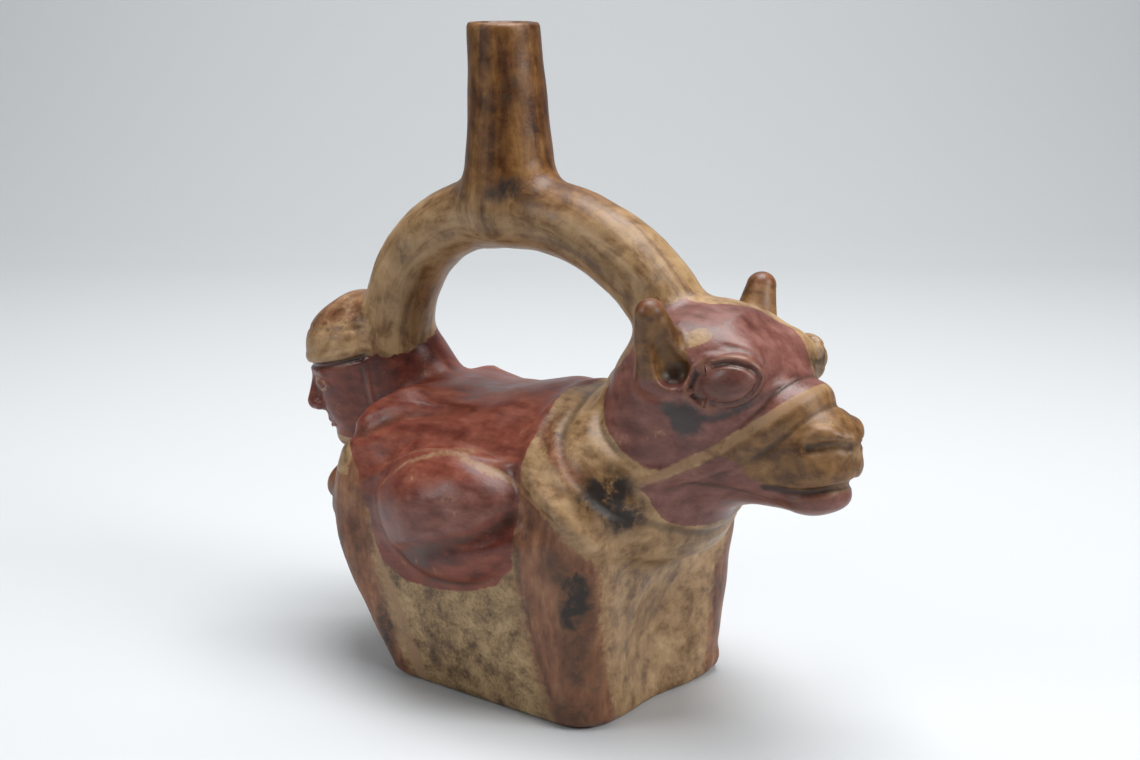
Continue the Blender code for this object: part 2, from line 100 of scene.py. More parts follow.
def turn_matrix(yaw: float = 0.0, pitch: float = 0.0, roll: float = 0.0) -> np.ndarray:
    """Axes turned about Z by yaw, nose-down about Y by pitch, then about X by roll.

    Args:
        yaw: Degrees about Z.
        pitch: Degrees about Y.
        roll: Degrees about X.

    Returns:
        The 3 by 3 matrix.
    """
    turn = Matrix.Rotation(math.radians(yaw), 3, "Z") @ Matrix.Rotation(math.radians(pitch), 3, "Y")
    return np.array(turn @ Matrix.Rotation(math.radians(roll), 3, "X"))


def path_distance(p: np.ndarray, points: np.ndarray) -> tuple[np.ndarray, np.ndarray]:
    """How far each of p is from a line.

    Args:
        p: Places, one in each row.
        points: The line's points, in as many dimensions.

    Returns:
        The distances, and the share of the line's length passed at the nearest place.
    """
    points = np.array(points, float)
    lengths = np.linalg.norm(np.diff(points, axis=0), axis=1)
    passed = np.concatenate(([0.0], np.cumsum(lengths)))
    square = (p * p).sum(axis=1)[:, None] - 2.0 * p @ points.T + (points * points).sum(axis=1)
    nearest = square.argmin(axis=1)
    best, share = np.full(len(p), 1e9), np.zeros(len(p))
    for first in (np.maximum(nearest - 1, 0), np.minimum(nearest, len(points) - 2)):
        start = points[first]
        along = points[first + 1] - start
        t = held(((p - start) * along).sum(axis=1) / (along * along).sum(axis=1))
        distance = np.sqrt(np.square(p - start - t[:, None] * along).sum(axis=1))
        nearer = distance < best
        best[nearer] = distance[nearer]
        share[nearer] = ((passed[first] + t * lengths[first]) / passed[-1])[nearer]
    return best, share


def inside_outline(p: np.ndarray, outline: tuple) -> np.ndarray:
    """How far each flat place lies inside a closed outline.

    Args:
        p: Places, two numbers in each row.
        outline: The outline's corners in order.

    Returns:
        Distances to the outline, above zero inside it.
    """
    corners = np.array(outline, float)
    inside = np.zeros(len(p), bool)
    best = np.full(len(p), 1e9)
    for a, b in zip(corners, np.roll(corners, -1, axis=0)):
        along = b - a
        t = held((p - a) @ along / max(along @ along, 1e-12))
        best = np.minimum(best, np.linalg.norm(p - a - t[:, None] * along, axis=1))
        spans = (a[1] > p[:, 1]) != (b[1] > p[:, 1])
        crossing = a[0] + (p[:, 1] - a[1]) / (along[1] if abs(along[1]) > 1e-12 else 1e-12) * along[0]
        inside ^= spans & (p[:, 0] < crossing)
    return np.where(inside, best, -best)


def eased(points: tuple, cuts: int = 4) -> np.ndarray:
    """A smooth curve through points.

    Args:
        points: The points to pass.
        cuts: Steps between one point and the next.

    Returns:
        The curve's points.
    """
    knots = [Vector(p) for p in points]
    knots = [2 * knots[0] - knots[1], *knots, 2 * knots[-1] - knots[-2]]
    curve = []
    for a, b, c, d in zip(knots, knots[1:], knots[2:], knots[3:]):
        for i in range(cuts):
            t = i / cuts
            curve.append(0.5 * (2 * b + (c - a) * t + (2 * a - 5 * b + 4 * c - d) * t * t
                                + (3 * b - a - 3 * c + d) * t ** 3))
    return np.array([*curve, knots[-2]])


def fading(distance: np.ndarray, width: float) -> np.ndarray:
    """One at no distance, fading to nothing past a width."""
    return np.exp(-np.square(distance / width))


def held(value: np.ndarray) -> np.ndarray:
    """Values held between nothing and one."""
    return np.clip(value, 0.0, 1.0)


def mirrored(p: np.ndarray) -> np.ndarray:
    """The places with those on the right side moved over to the left."""
    return np.stack((p[:, 0], np.abs(p[:, 1]), p[:, 2]), axis=1)


def settle(p: np.ndarray, clay: Field, rounds: int = 2, longest: float = 0.002,
           step: float = 3e-5) -> np.ndarray:
    """Moves places onto a field's surface.

    Args:
        p: The places.
        clay: The field's function.
        rounds: How many times they move.
        longest: The longest move in one round.
        step: How far apart the slope is read.

    Returns:
        The places on the surface.
    """
    corners = np.array(((1, -1, -1), (-1, -1, 1), (-1, 1, -1), (1, 1, 1))) * step
    for _ in range(rounds):
        around = [clay(p + corner) for corner in corners]
        slope = sum(d[:, None] * corner for d, corner in zip(around, corners)) / (4 * step * step)
        size = np.maximum(np.linalg.norm(slope, axis=1), 0.2)
        move = np.clip(sum(around) / (4 * size), -longest, longest)
        p = p - (move / size)[:, None] * slope
    return p


@dataclass(frozen=True)
class Lump:
    """An ellipsoid of clay, in its figure's own measure."""

    centre: tuple
    radii: tuple
    yaw: float = 0.0
    pitch: float = 0.0
    roll: float = 0.0
    blend: float = 0.1
    paired: bool = False
    scoop: bool = False

    def distance(self, q: np.ndarray) -> np.ndarray:
        """About how far each of q is outside the lump.

        Args:
            q: Places in the figure's own measure.

        Returns:
            Distances in that measure, below zero inside.
        """
        local = (q - np.array(self.centre)) @ turn_matrix(self.yaw, self.pitch, self.roll)
        k0 = np.sqrt(np.square(local / self.radii).sum(axis=1))
        k1 = np.sqrt(np.square(local / np.square(self.radii)).sum(axis=1))
        return k0 * (k0 - 1.0) / np.maximum(k1, 1e-9)


@dataclass(frozen=True)
class Roll:
    """A tapered roll of clay with round ends, in its figure's own measure."""

    start: tuple
    end: tuple
    radius_start: float
    radius_end: float
    blend: float = 0.1
    paired: bool = False
    scoop: bool = False

    def distance(self, q: np.ndarray) -> np.ndarray:
        """How far each of q is outside the roll.

        Args:
            q: Places in the figure's own measure.

        Returns:
            Distances in that measure, below zero inside.
        """
        start, along = np.array(self.start), np.array(self.end) - np.array(self.start)
        t = held((q - start) @ along / (along @ along))
        radius = self.radius_start + t * (self.radius_end - self.radius_start)
        return np.sqrt(np.square(q - start - t[:, None] * along).sum(axis=1)) - radius


@dataclass(frozen=True)
class Line:
    """Relief along a line of points: a ridge if high is above zero, a groove if below."""

    points: tuple
    width: float
    high: float
    fade_start: bool = False
    fade_end: bool = False
    paired: bool = True


def crease(points: tuple, width: float, high: float) -> Line:
    """Relief that fades at both ends of its line."""
    return Line(points, width, high, fade_start=True, fade_end=True)


@dataclass(frozen=True)
class Pit:
    """A small round chip in the surface, in metres."""

    place: tuple
    radius: float
    depth: float


@dataclass(frozen=True)
class Stain:
    """A soft-edged mark of the fire or of use, in millimetres."""

    place: tuple
    reach: tuple
    strength: float = 1.0

    def on(self, mm: np.ndarray) -> np.ndarray:
        """How strongly the mark shows at each place."""
        away = np.square((mm - np.array(self.place)) / np.array(self.reach)).sum(axis=1)
        return self.strength * np.exp(-away * 1.2)


@dataclass
class Figure:
    """Forms that share one frame: an origin, a measure along each axis, and a turn in degrees."""

    origin: tuple
    measure: tuple
    reach: float
    forms: tuple
    lines: tuple
    yaw: float = 0.0
    pitch: float = 0.0
    laid: list = field(default_factory=list)

    def local(self, p: np.ndarray) -> np.ndarray:
        """Places in the figure's own measure."""
        return (p - np.array(self.origin)) @ turn_matrix(self.yaw, self.pitch) / self.measure

    def world(self, q: np.ndarray) -> np.ndarray:
        """Places in metres."""
        return q * self.measure @ turn_matrix(self.yaw, self.pitch).T + np.array(self.origin)

    def scale(self) -> float:
        """The figure's mean measure, in metres."""
        return float(np.mean(self.measure))

    def near(self, p: np.ndarray) -> np.ndarray:
        """Which places the figure can reach."""
        return np.abs(p - np.array(self.origin)).max(axis=1) < self.reach

    def add_to(self, clay: np.ndarray, p: np.ndarray) -> np.ndarray:
        """Works this figure's forms into the clay.

        Args:
            clay: The field's values so far.
            p: Where they were read.

        Returns:
            The values with the forms worked in.
        """
        near = self.near(p)
        q = self.local(p[near])
        both = mirrored(q)
        part = clay[near]
        for form in self.forms:
            distance = form.distance(both if form.paired else q) * self.scale()
            part = (soft_cut if form.scoop else soft_union)(part, distance, form.blend * self.scale())
        clay = clay.copy()
        clay[near] = part
        return clay

    def lay_lines(self, clay: Field) -> None:
        """Lays each line on the surface that its points are near to.

        Args:
            clay: The function of the plain forms' field.
        """
        curves = [self.world(eased(line.points)) for line in self.lines]
        self.laid = [self.local(settle(curve, clay, rounds=8)) for curve in curves]

    def press(self, clay: np.ndarray, p: np.ndarray) -> np.ndarray:
        """Raises this figure's ridges on the clay and presses its grooves into it.

        Args:
            clay: The field's values so far.
            p: Where they were read.

        Returns:
            The values with the relief.
        """
        near = self.near(p) & (np.abs(clay) < 0.004)
        q = self.local(p[near])
        both = mirrored(q)
        rise = np.zeros(len(q))
        for line, laid in zip(self.lines, self.laid):
            spots = both if line.paired else q
            low, high = laid.min(axis=0) - line.width, laid.max(axis=0) + line.width
            close = ((spots > low) & (spots < high)).all(axis=1)
            distance, share = path_distance(spots[close], laid)
            bump = held(1.0 - np.square(distance / line.width)) ** 2
            if line.fade_start:
                bump = bump * np.minimum(share * 3.0, 1.0)
            if line.fade_end:
                bump = bump * np.minimum((1.0 - share) * 3.0, 1.0)
            rise[close] += line.high * bump
        clay = clay.copy()
        clay[near] -= rise * self.scale()
        return clay


class Slip(Enum):
    """The slips and marks on the surface, painted shade and a painted highlight among them, by the name of
    the attribute that holds each.
    """

    RED = "red_slip"
    WASH = "leg_wash"
    TUBE = "tube_slip"
    PALE = "pale_line"
    # The red's own tone on the heads, and painted light and shade on the thigh
    TONE = "red_tone"
    PANEL = "worn_panel"
    SOOT_AND_SHADE = "fire_cloud"
    GREY = "grey_mark"
    DARK = "dark_line"
    GOLD = "golden_wash"


Marks = dict[Slip, np.ndarray]


def lay_over(marks: Marks, slip: Slip, values: np.ndarray) -> None:
    """Lays a mark wherever it is stronger than what is there."""
    marks[slip] = np.maximum(marks[slip], values)


@dataclass(frozen=True)
class Chamber:
    """The vessel under the figures: a rounded box that leans out at the rump, chest and sides."""

    back_height: float = 0.1075
    base_length: float = 0.095
    base_width: float = 0.081
    body_width: float = 0.094
    rump_overhang: float = 0.025
    chest_overhang: float = 0.0065
    base_edge: float = 0.003
    shoulder_edge: float = 0.044
    corner_edge: float = 0.015
    wall: float = 0.005

    def clay(self, p: np.ndarray, floor: float) -> np.ndarray:
        """The chamber's field.

        Args:
            p: Places in metres.
            floor: The height of its floor.

        Returns:
            Distances from its surface.
        """
        x, y, z = p.T
        rise = held(z / self.back_height)
        lean = np.sin(held(rise * 1.75) * math.pi / 2)
        rear = -self.base_length / 2 - self.rump_overhang * lean
        front = self.base_length / 2 + self.chest_overhang * rise
        widening = np.sin(held(rise * 1.6) * math.pi / 2)
        side = (self.base_width + (self.body_width - self.base_width) * widening) / 2
        along = np.abs(x - (front + rear) / 2) - (front - rear) / 2
        walls = rounded_corner(along, np.abs(y) - side, self.corner_edge)
        standing = rounded_corner(walls, floor - z, self.base_edge)
        return rounded_corner(standing, z - self.back_height, self.shoulder_edge)


@dataclass(frozen=True)
class Stirrup:
    """The hollow arch that stands in the two heads."""

    diameter: float = 0.0255
    foot_flare: float = 0.0015
    top: float = 0.1655
    top_x: float = -0.014
    front_foot: tuple = (0.0565, 0.116)
    rear_foot: tuple = (-0.077, 0.108)
    front_roundness: float = 2.0
    rear_roundness: float = 2.2
    wall: float = 0.0045
    lowest: float = 0.1075

    def line(self, steps: int = 20) -> np.ndarray:
        """Points along the arch's middle, from the rider's head over to the llama's.

        Args:
            steps: Steps along each leg.

        Returns:
            The points.
        """
        points = []
        for foot, hand, power in (
            (self.rear_foot, -1, self.rear_roundness),
            (self.front_foot, 1, self.front_roundness),
        ):
            span, rise = abs(foot[0] - self.top_x), self.top - foot[1]
            leg = []
            for i in range(steps + 1):
                angle = math.pi / 2 * i / steps
                along, up = abs(math.cos(angle)) ** (2 / power), abs(math.sin(angle)) ** (2 / power)
                leg.append((self.top_x + hand * span * along, 0.0, foot[1] + rise * up))
            points += leg if hand < 0 else leg[-2::-1]
        return np.array(points)

    def clay(self, p: np.ndarray) -> np.ndarray:
        """The arch's field at each place.

        Args:
            p: Places in metres.

        Returns:
            Distances from its surface.
        """
        away = 2.0 * self.diameter
        near = (np.abs(p[:, 1]) < away) & (p[:, 2] > self.lowest - away)
        result = np.full(len(p), away)
        distance, share = path_distance(p[near], self.line())
        foot = np.abs(2.0 * share - 1.0) ** 4
        result[near] = distance - self.diameter / 2 - self.foot_flare * foot
        return result


@dataclass(frozen=True)
class Spout:
    """The tapered spout on top of the arch, open at its rim."""

    x: float = -0.020
    lean: float = -0.0028
    foot: float = 0.1655
    rim: float = 0.230
    top_diameter: float = 0.0252
    foot_diameter: float = 0.0350
    sink: float = 0.009
    rim_edge: float = 0.0012
    lip_edge: float = 0.0010
    wall: float = 0.0038
    past_rim: float = 0.012

    def clay(self, p: np.ndarray, past: float = 0.0) -> np.ndarray:
        """The spout's field.

        Args:
            p: Places in metres.
            past: How far past the rim it runs.

        Returns:
            Distances from its surface.
        """
        x, y, z = p.T
        t = held((z - self.foot) / (self.rim - self.foot))
        width = self.foot_diameter + (self.top_diameter - self.foot_diameter) * (1.6 * t - 0.6 * t * t)
        side = np.hypot(x - self.x - self.lean * t * t, y) - width / 2
        foot = rounded_corner(side, self.foot - self.sink - z, self.sink + 0.004)
        return rounded_corner(foot, z - self.rim - past, self.rim_edge)

    def bore(self, p: np.ndarray) -> np.ndarray:
        """The bore's field, run past the rim, with a soft lip where it comes out."""
        lip = held(1.0 - (self.rim - p[:, 2]) / self.lip_edge) ** 2
        return self.clay(p, self.past_rim) + self.wall - self.lip_edge * lip


def near_height(z: np.ndarray, places: tuple) -> np.ndarray:
    """A border's place at each height.

    Args:
        z: Heights.
        places: Pairs of a height and the border's place there, lowest first.

    Returns:
        The border's place at each height.
    """
    heights, borders = zip(*places)
    return np.interp(z, heights, borders)


@dataclass
class Trunk(Figure):
    """The llama's body with the rider's limbs worked on it, in millimetres."""

    origin: tuple = (0.0, 0.0, 0.0)
    measure: tuple = (MM, MM, MM)
    reach: float = 0.285
    forms: tuple = (
        Lump((-9, 41, 66), (34, 19, 23.5), blend=4, paired=True),
        Lump((-68, 27.5, 61.5), (13.5, 14, 12.5), blend=4, paired=True),
        Roll((-58, 34, 50), (-38.5, 32.5, 6), 12, 8, blend=3, paired=True),
        Roll((37.5, 32.5, 72), (36.5, 30.5, 8), 15.2, 10, blend=3, paired=True),
        Lump((38, 31, 5.5), (10, 10.2, 6.5), blend=2.5, paired=True),
        Lump((36, 0, 80), (34, 44, 25), pitch=33, blend=6),
        Roll((48, 0, 88), (64, 0, 110), 30, 27.5, blend=9),
        Lump((73, 0, 22), (31, 27, 34), blend=8, scoop=True),
        Lump((-34, 0, 121.5), (42, 48, 19.5), blend=6, scoop=True),
        Lump((-30, 30, 128), (40, 30, 29.5), blend=6, paired=True, scoop=True),
    )
    lines: tuple = (
        # The shirt's hem over the thigh, the fold of the arm and the garment's edge above it
        Line(((-56, 46, 62), (-48, 48, 73), (-29, 47, 85), (-6, 45, 92),
              (16, 44, 91), (29, 44, 84), (42, 45, 76)), 3, 1.2),
        Line(((-74, 34, 57), (-55, 32, 83), (-30, 30, 98), (-8, 28, 104)), 6, -2.2, fade_end=True),
        crease(((-80, 22, 80), (-60, 22, 97), (-34, 20, 106)), 7, 0.6),
        # The fold behind the knee, with the creases in it
        Line(((34, 52, 74), (18, 58, 71), (0, 60, 68), (-16, 60, 66)), 10, -1.8, fade_end=True),
        Line(((20, 47, 72), (11, 54, 65.2), (-6, 59, 59), (-17, 57, 55), (-34, 47, 50)), 5.5, -2.3,
             fade_end=True),
        Line(((20, 47, 73.5), (12, 54, 67), (-5, 59, 61.5), (-15, 58, 59)), 2.3, -0.7, fade_end=True),
        crease(((17, 50, 66), (8, 56, 61.5), (-6, 59, 57)), 2.3, -0.5),
        crease(((19, 50, 76), (10, 57, 72), (-2, 60, 68)), 2.3, -0.5),
        crease(((18, 49, 62), (9, 56, 58), (-4, 58, 54)), 2.3, -0.4),
        # The outline where the thigh lies on the flank
        crease(((20, 50, 54), (10, 50, 46.5), (-4, 50, 42.5), (-20, 50, 40), (-34, 48, 42)), 2.3, -0.7),
        # Folds of the neck
        Line(((12, 0, 112), (16, 18, 108), (18, 34, 98), (26, 44, 86),
              (44, 46, 74), (58, 38, 62), (66, 18, 53), (68, 0, 50)), 4, 1.4),
        Line(((20, 0, 114), (25, 20, 112), (30, 33, 101), (40, 40, 90),
              (54, 38, 80), (64, 26, 72), (70, 0, 66)), 3.8, -1.3),
        Line(((28, 0, 120), (32, 22, 116), (38, 32, 107),
              (47, 36, 98), (60, 32, 88), (68, 20, 80)), 4, 0.9, fade_end=True),
        Line(((22, 42, 86.5), (27, 44.5, 83), (34, 46, 80), (42, 48, 77), (48, 46, 73)), 6, 1.5,
             fade_end=True),
        crease(((22, 18, 107), (25, 34, 97), (35, 43, 87.5), (48, 43, 79)), 2.3, -0.5),
        crease(((37, 20, 112), (41, 27, 105), (48, 30, 99), (58, 30, 92)), 2.3, -0.8),
        # Creases under the wrist and beside the legs, and between the fingers
        Line(((-96, 10, 52), (-92, 28, 51), (-76, 42, 55)), 3.2, -1.6, fade_end=True),
        Line(((-66, 44, 50), (-56, 42, 30), (-42, 38, 6)), 2.4, -0.6),
        Line(((20, 46, 78), (22, 46, 54), (26, 42, 37), (33, 38, 10)), 2.4, -0.6),
        crease(((-70, 46, 70), (-73, 46, 62), (-72, 44, 53)), 2.3, -0.45),
        crease(((-76, 42, 70), (-79, 42, 62), (-77, 40, 53)), 2.3, -0.45),
        crease(((-80, 34, 71), (-84, 34, 62), (-82, 34, 53)), 2.3, -0.45),
        crease(((-81, 26, 71), (-85, 26, 62), (-82, 26, 53)), 2.3, -0.45),
        # The split of each fore hoof
        Line(((49, 33, 12), (51, 33, 6), (50, 33, 0)), 2.3, -0.7, fade_start=True),
    )

    def paint(self, mm: np.ndarray, marks: Marks) -> None:
        """Paints the body, the thighs and the legs.

        Args:
            mm: Places in millimetres.
            marks: The slips, changed in place.
        """
        x, y, z = mirrored(mm).T
        flank = np.stack((x, z), axis=1)
        shirt = inside_outline(flank, (
            (-140, 150), (19, 150), (17, 112), (15.3, 108.8), (19, 103), (20, 97), (20, 92), (20.8, 87),
            (21.5, 79), (21.8, 63.3), (20.4, 54.2), (17, 51.5), (12.5, 46.7), (0.8, 42.3), (-13.7, 39.2),
            (-30.5, 39.1), (-41.2, 44.3), (-44.8, 53), (-45.8, 61), (-49, 66), (-50.6, 72), (-53.4, 76),
            (-57, 79.5), (-60, 83.5), (-140, 85)))
        chin = np.minimum.reduce((z - 74.0, -56.0 - x, 24.0 - y))
        marks[Slip.RED] = np.maximum.reduce((marks[Slip.RED], shirt, chin))
        foreleg = np.minimum.reduce((
            x - near_height(z, ((0, 34.6), (16, 28.8), (37, 24.3), (56, 21.8), (78, 20.8))),
            y - np.where(mm[:, 1] > 0, near_height(z, ((0, 26.2), (41, 27.2), (60, 38))), near_height(
                z, ((0, 26.2), (24, 32.9), (41, 36.5), (57, 38.5), (70, 41)))),
            np.interp(x, (20, 31, 42, 48, 52), (85, 77, 69, 63, 57)) - z))
        hind_leg = np.minimum.reduce((
            near_height(z, (
                (0, -31), (4.8, -34.1), (10.5, -37), (21.5, -40.3), (38, -44.5), (63, -47.1))) - x,
            y - near_height(z, ((0, 22), (40, 22), (52, 17), (60, 9))),
            83.5 - z))
        fold, _ = path_distance(flank, np.array(((19, 101), (28, 96.5), (35, 92.5), (42, 88))))
        marks[Slip.WASH] = np.maximum.reduce((foreleg, hind_leg, np.where(y > 20, 2.2 - fold, BARE)))
        above = z - np.interp(x, (-36, -16, -5, 4, 11, 16, 20), (48, 55, 59, 62, 65, 69, 72))
        # Painted shade in a band below the thigh's crease, and a painted highlight of lighter, pinker red on
        # the lobe above it
        shade = fading(above + 3.0, 4.0) * held((x + 40) / 12) * held((24 - x) / 6)
        marks[Slip.TONE] = np.where(y > 40, 0.35 * fading(above - 11, 8) - 1.2 * shade, 0.0)
        marks[Slip.DARK] = np.where(y > 42, 0.42 * shade * held((70 - z) / 10), 0.0)
        hem, share = path_distance(flank, np.array((
            (-43, 66.5), (-38, 72.5), (-31, 78.5), (-24.4, 84), (-13.3, 88.2), (-5.2, 89.5),
            (4.8, 87.2), (13, 84.6), (21.6, 81.5), (31, 77.4))))
        marks[Slip.PALE] = np.where(y > 20, 0.15 + 0.9 * share - hem, BARE)
        stripe, along = path_distance(flank, np.array(((-43, 46), (-38, 34), (-32, 18), (-27.5, 3))))
        lay_over(marks, Slip.PALE, np.where(y > 20, 1.2 + 1.4 * along - stripe, BARE))
        panel = inside_outline(flank, (
            (-46, 52), (-34, 4), (-30, -6), (34, -6), (22, 50), (20, 58), (-30, 60)))
        rear = np.minimum(-44 - x, 66 - z)
        marks[Slip.PANEL] = held(np.maximum(panel, rear) / 6.0)


@dataclass
class LlamaHead(Figure):
    """The llama's head, in shares of its length."""

    origin: tuple = (0.060, 0.0, 0.112)
    measure: tuple = (0.0645, 0.0645, 0.0645)
    reach: float = 0.0851
    eyeball: int = 7
    ear: int = 8
    ear_hollow: int = 9
    forms: tuple = (
        Lump((0.085, 0.0, 0.01), (0.49, 0.44, 0.465), blend=0.10),
        Roll((0.18, 0.0, 0.08), (0.74, 0.0, -0.14), 0.39, 0.20, blend=0.12),
        Roll((0.05, 0.0, -0.17), (0.68, 0.0, -0.32), 0.35, 0.185, blend=0.15),
        Roll((0.10, 0.23, 0.21), (0.42, 0.20, 0.21), 0.20, 0.15, blend=0.10, paired=True),
        Lump((0.845, 0.0, -0.095), (0.125, 0.135, 0.085), blend=0.05),
        Lump((0.815, 0.0, -0.25), (0.155, 0.165, 0.105), blend=0.05),
        Lump((0.725, 0.0, -0.40), (0.195, 0.16, 0.095), blend=0.05),
        Lump((0.44, 0.325, 0.18), (0.155, 0.10, 0.12), yaw=-18, pitch=-20, blend=0.012, paired=True),
        Roll((0.09, 0.37, 0.18), (0.07, 0.49, 0.49), 0.16, 0.080, blend=0.04, paired=True),
        Roll((0.205, 0.475, 0.22), (0.14, 0.58, 0.46), 0.088, 0.030, blend=0.025, paired=True, scoop=True),
    )
    lines: tuple = (
        # The noseband, with a groove at each edge
        Line(((0.74, 0.0, 0.13), (0.69, 0.18, 0.07), (0.62, 0.26, -0.03),
              (0.44, 0.32, -0.19), (0.22, 0.37, -0.30), (-0.02, 0.38, -0.37)), 0.085, 0.034),
        Line(((0.81, 0.0, 0.06), (0.765, 0.15, 0.01), (0.68, 0.23, -0.09), (0.50, 0.29, -0.25)),
             0.030, -0.008, fade_end=True),
        Line(((0.68, 0.0, 0.20), (0.62, 0.19, 0.13), (0.56, 0.28, 0.03), (0.40, 0.36, -0.11)), 0.022, -0.006,
             fade_end=True),
        # Lids around the eye, and the crease beside the ball
        Line(((0.25, 0.40, 0.11), (0.31, 0.39, 0.26), (0.45, 0.36, 0.325),
              (0.58, 0.29, 0.28), (0.62, 0.25, 0.22)), 0.05, 0.018),
        Line(((0.25, 0.40, 0.10), (0.38, 0.39, 0.04), (0.54, 0.33, 0.08), (0.62, 0.25, 0.20)), 0.04, 0.010),
        Line(((0.27, 0.42, 0.13), (0.32, 0.42, 0.245), (0.44, 0.40, 0.295),
              (0.56, 0.34, 0.27), (0.60, 0.30, 0.22)), 0.026, -0.026),
        Line(((0.27, 0.42, 0.11), (0.36, 0.41, 0.065), (0.50, 0.37, 0.075), (0.60, 0.30, 0.20)),
             0.022, -0.022),
        crease(((0.36, 0.34, 0.37), (0.48, 0.32, 0.39), (0.60, 0.25, 0.33)), 0.03, -0.008),
        crease(((0.64, 0.24, 0.24), (0.60, 0.28, 0.31), (0.52, 0.31, 0.365)), 0.018, -0.010),
        # Mouth, nostrils and the furrow of the upper lip
        Line(((0.58, 0.26, -0.385), (0.75, 0.20, -0.365),
              (0.90, 0.13, -0.345), (0.97, 0.0, -0.33)), 0.040, -0.035, fade_start=True),
        Line(((0.60, 0.25, -0.383), (0.75, 0.20, -0.365),
              (0.90, 0.13, -0.345), (0.97, 0.0, -0.33)), 0.016, -0.022, fade_start=True),
        Line(((0.80, 0.17, -0.13), (0.92, 0.14, -0.11), (0.985, 0.06, -0.13)), 0.042, -0.042),
        Line(((0.83, 0.16, -0.135), (0.93, 0.13, -0.115), (0.975, 0.07, -0.13)), 0.018, -0.030),
        crease(((0.78, 0.18, -0.06), (0.87, 0.15, -0.035), (0.95, 0.09, -0.05)), 0.05, 0.024),
        Line(((0.98, 0.0, -0.17), (0.99, 0.0, -0.23), (0.985, 0.0, -0.30)), 0.02, -0.014, paired=False,
             fade_start=True),
        # The edge of the jaw
        crease(((0.12, 0.43, -0.36), (0.30, 0.36, -0.42), (0.50, 0.26, -0.47), (0.66, 0.16, -0.49)),
               0.03, -0.010),
    )

    def paint(self, mm: np.ndarray, marks: Marks) -> None:
        """Paints the head: its right half red, the muzzle, band, ears and left half cream.

        Args:
            mm: Places in millimetres.
            marks: The slips, changed in place.
        """
        x, y, z = mm.T
        profile = np.stack((x, z), axis=1)
        face = inside_outline(profile, (
            (50, 136), (48.5, 127), (39, 118), (37.4, 111.3), (40.2, 106.8), (45.7, 101.8), (52.2, 97.2),
            (61.3, 92.5), (67, 92.2), (76.4, 98), (84.2, 102.8), (90.7, 107.9), (98.5, 113.9), (105.1, 119.4),
            (109, 123), (100, 150), (60, 152)))
        jaw = inside_outline(profile, (
            (56, 80), (61, 88), (67.4, 89.4), (79.7, 95.8), (86.7, 99.9), (90.2, 96.9), (91.3, 92.5),
            (97.1, 89.9), (108.1, 89.2), (126, 88.6), (126, 70), (56, 68)))
        crown = near_height(x, (
            (40, -6), (60, -6), (70, -6), (77, -1), (82, 6.9), (89, 11.2), (96, 10), (100, 9), (108, 4))) - y
        under = np.minimum(jaw, 6.0 - y)
        red = np.maximum(np.minimum(face, crown), under)
        both = mirrored(self.local(mm * MM))
        unit = self.measure[0] / MM
        ear = self.forms[self.ear].distance(both) * unit
        spot, _ = path_distance(mm, np.array(((71.0, -25.5, 134.5), (76.5, -20.5, 136.5))))
        spot = spot - 3.3
        bare = np.minimum(np.maximum(ear - 1.2, 123.0 - z), spot)
        red = np.minimum(red, bare)
        head = self.skin(mm)
        marks[Slip.RED] = np.where(head, red, marks[Slip.RED])
        marks[Slip.TONE] = np.where(head, 0.25, marks[Slip.TONE])
        eye = self.forms[self.eyeball].distance(both) * unit
        halo = fading(np.maximum(eye - 0.6, 0.0), 1.6) * np.where(z < 122, 0.42, 0.30)
        lay_over(marks, Slip.DARK, np.where(eye < 0.6, 0.46, halo) * (eye < 6.0))
        tip = held((mm[:, 2] - 143.5) / 3.5) * (ear < 1.0)
        # Painted shade inside the ear's hollow, laid with the fire clouds
        hollow = held(1.2 - self.forms[self.ear_hollow].distance(both) * unit)
        lay_over(marks, Slip.SOOT_AND_SHADE, 0.16 * hollow)
        marks[Slip.WASH] = np.where(head, np.where(tip > 0.2, tip * 2.0 - 1.0, BARE), marks[Slip.WASH])
        marks[Slip.PALE] = np.where(head, BARE, marks[Slip.PALE])
        muzzle = held((x - near_height(z, ((88, 70), (98, 82), (110, 98), (122, 110)))) / 3.0)
        marks[Slip.GOLD] = np.where(head, np.maximum(0.75 * muzzle, np.where(ear < 1.5, 0.8, 0.0)), 0.0)
        # Painted shade in each groove: the nostrils, mouth, lids, noseband edges and creases are darkened by
        # their depth
        for line, laid in zip(self.lines, self.laid):
            if line.high < 0:
                far = path_distance(both, laid)[0]
                shade = min(0.95, -line.high / 0.026) * fading(far, 0.75 * line.width)
                lay_over(marks, Slip.DARK, np.where(head, shade, 0.0))
        band, share = path_distance(profile, np.array((
            (60, 87.4), (67, 91.0), (77, 97.0), (86, 101.5), (92.5, 106.8), (100.5, 113.2), (107.5, 119.8))))
        lay_over(marks, Slip.PALE, np.where((y < 1) & head, 1.4 - band, BARE))
        # A dark line in the mouth's slit: painted shade
        mouth, _ = path_distance(profile, np.array(((98, 88.6), (108, 88.9), (116, 89.8), (123, 90.6))))
        lay_over(marks, Slip.DARK, np.where(head, 0.8 * fading(mouth, 0.9), 0.0))

    def skin(self, mm: np.ndarray) -> np.ndarray:
        """Which places are on the head and not on the neck.

        Args:
            mm: Places in millimetres.

        Returns:
            True where they are.
        """
        x, y, z = mm.T
        nape = inside_outline(np.stack((x, z), axis=1), (
            (52, 160), (50.5, 134), (48.5, 127), (39, 118), (37.4, 111.3), (40.2, 106.8), (45.7, 101.8),
            (52.2, 97.2), (61.3, 91.5), (66, 86), (70, 76), (130, 70), (130, 160)))
        return (nape > -5.0) & (np.abs(y) < 45) & (x > 34)


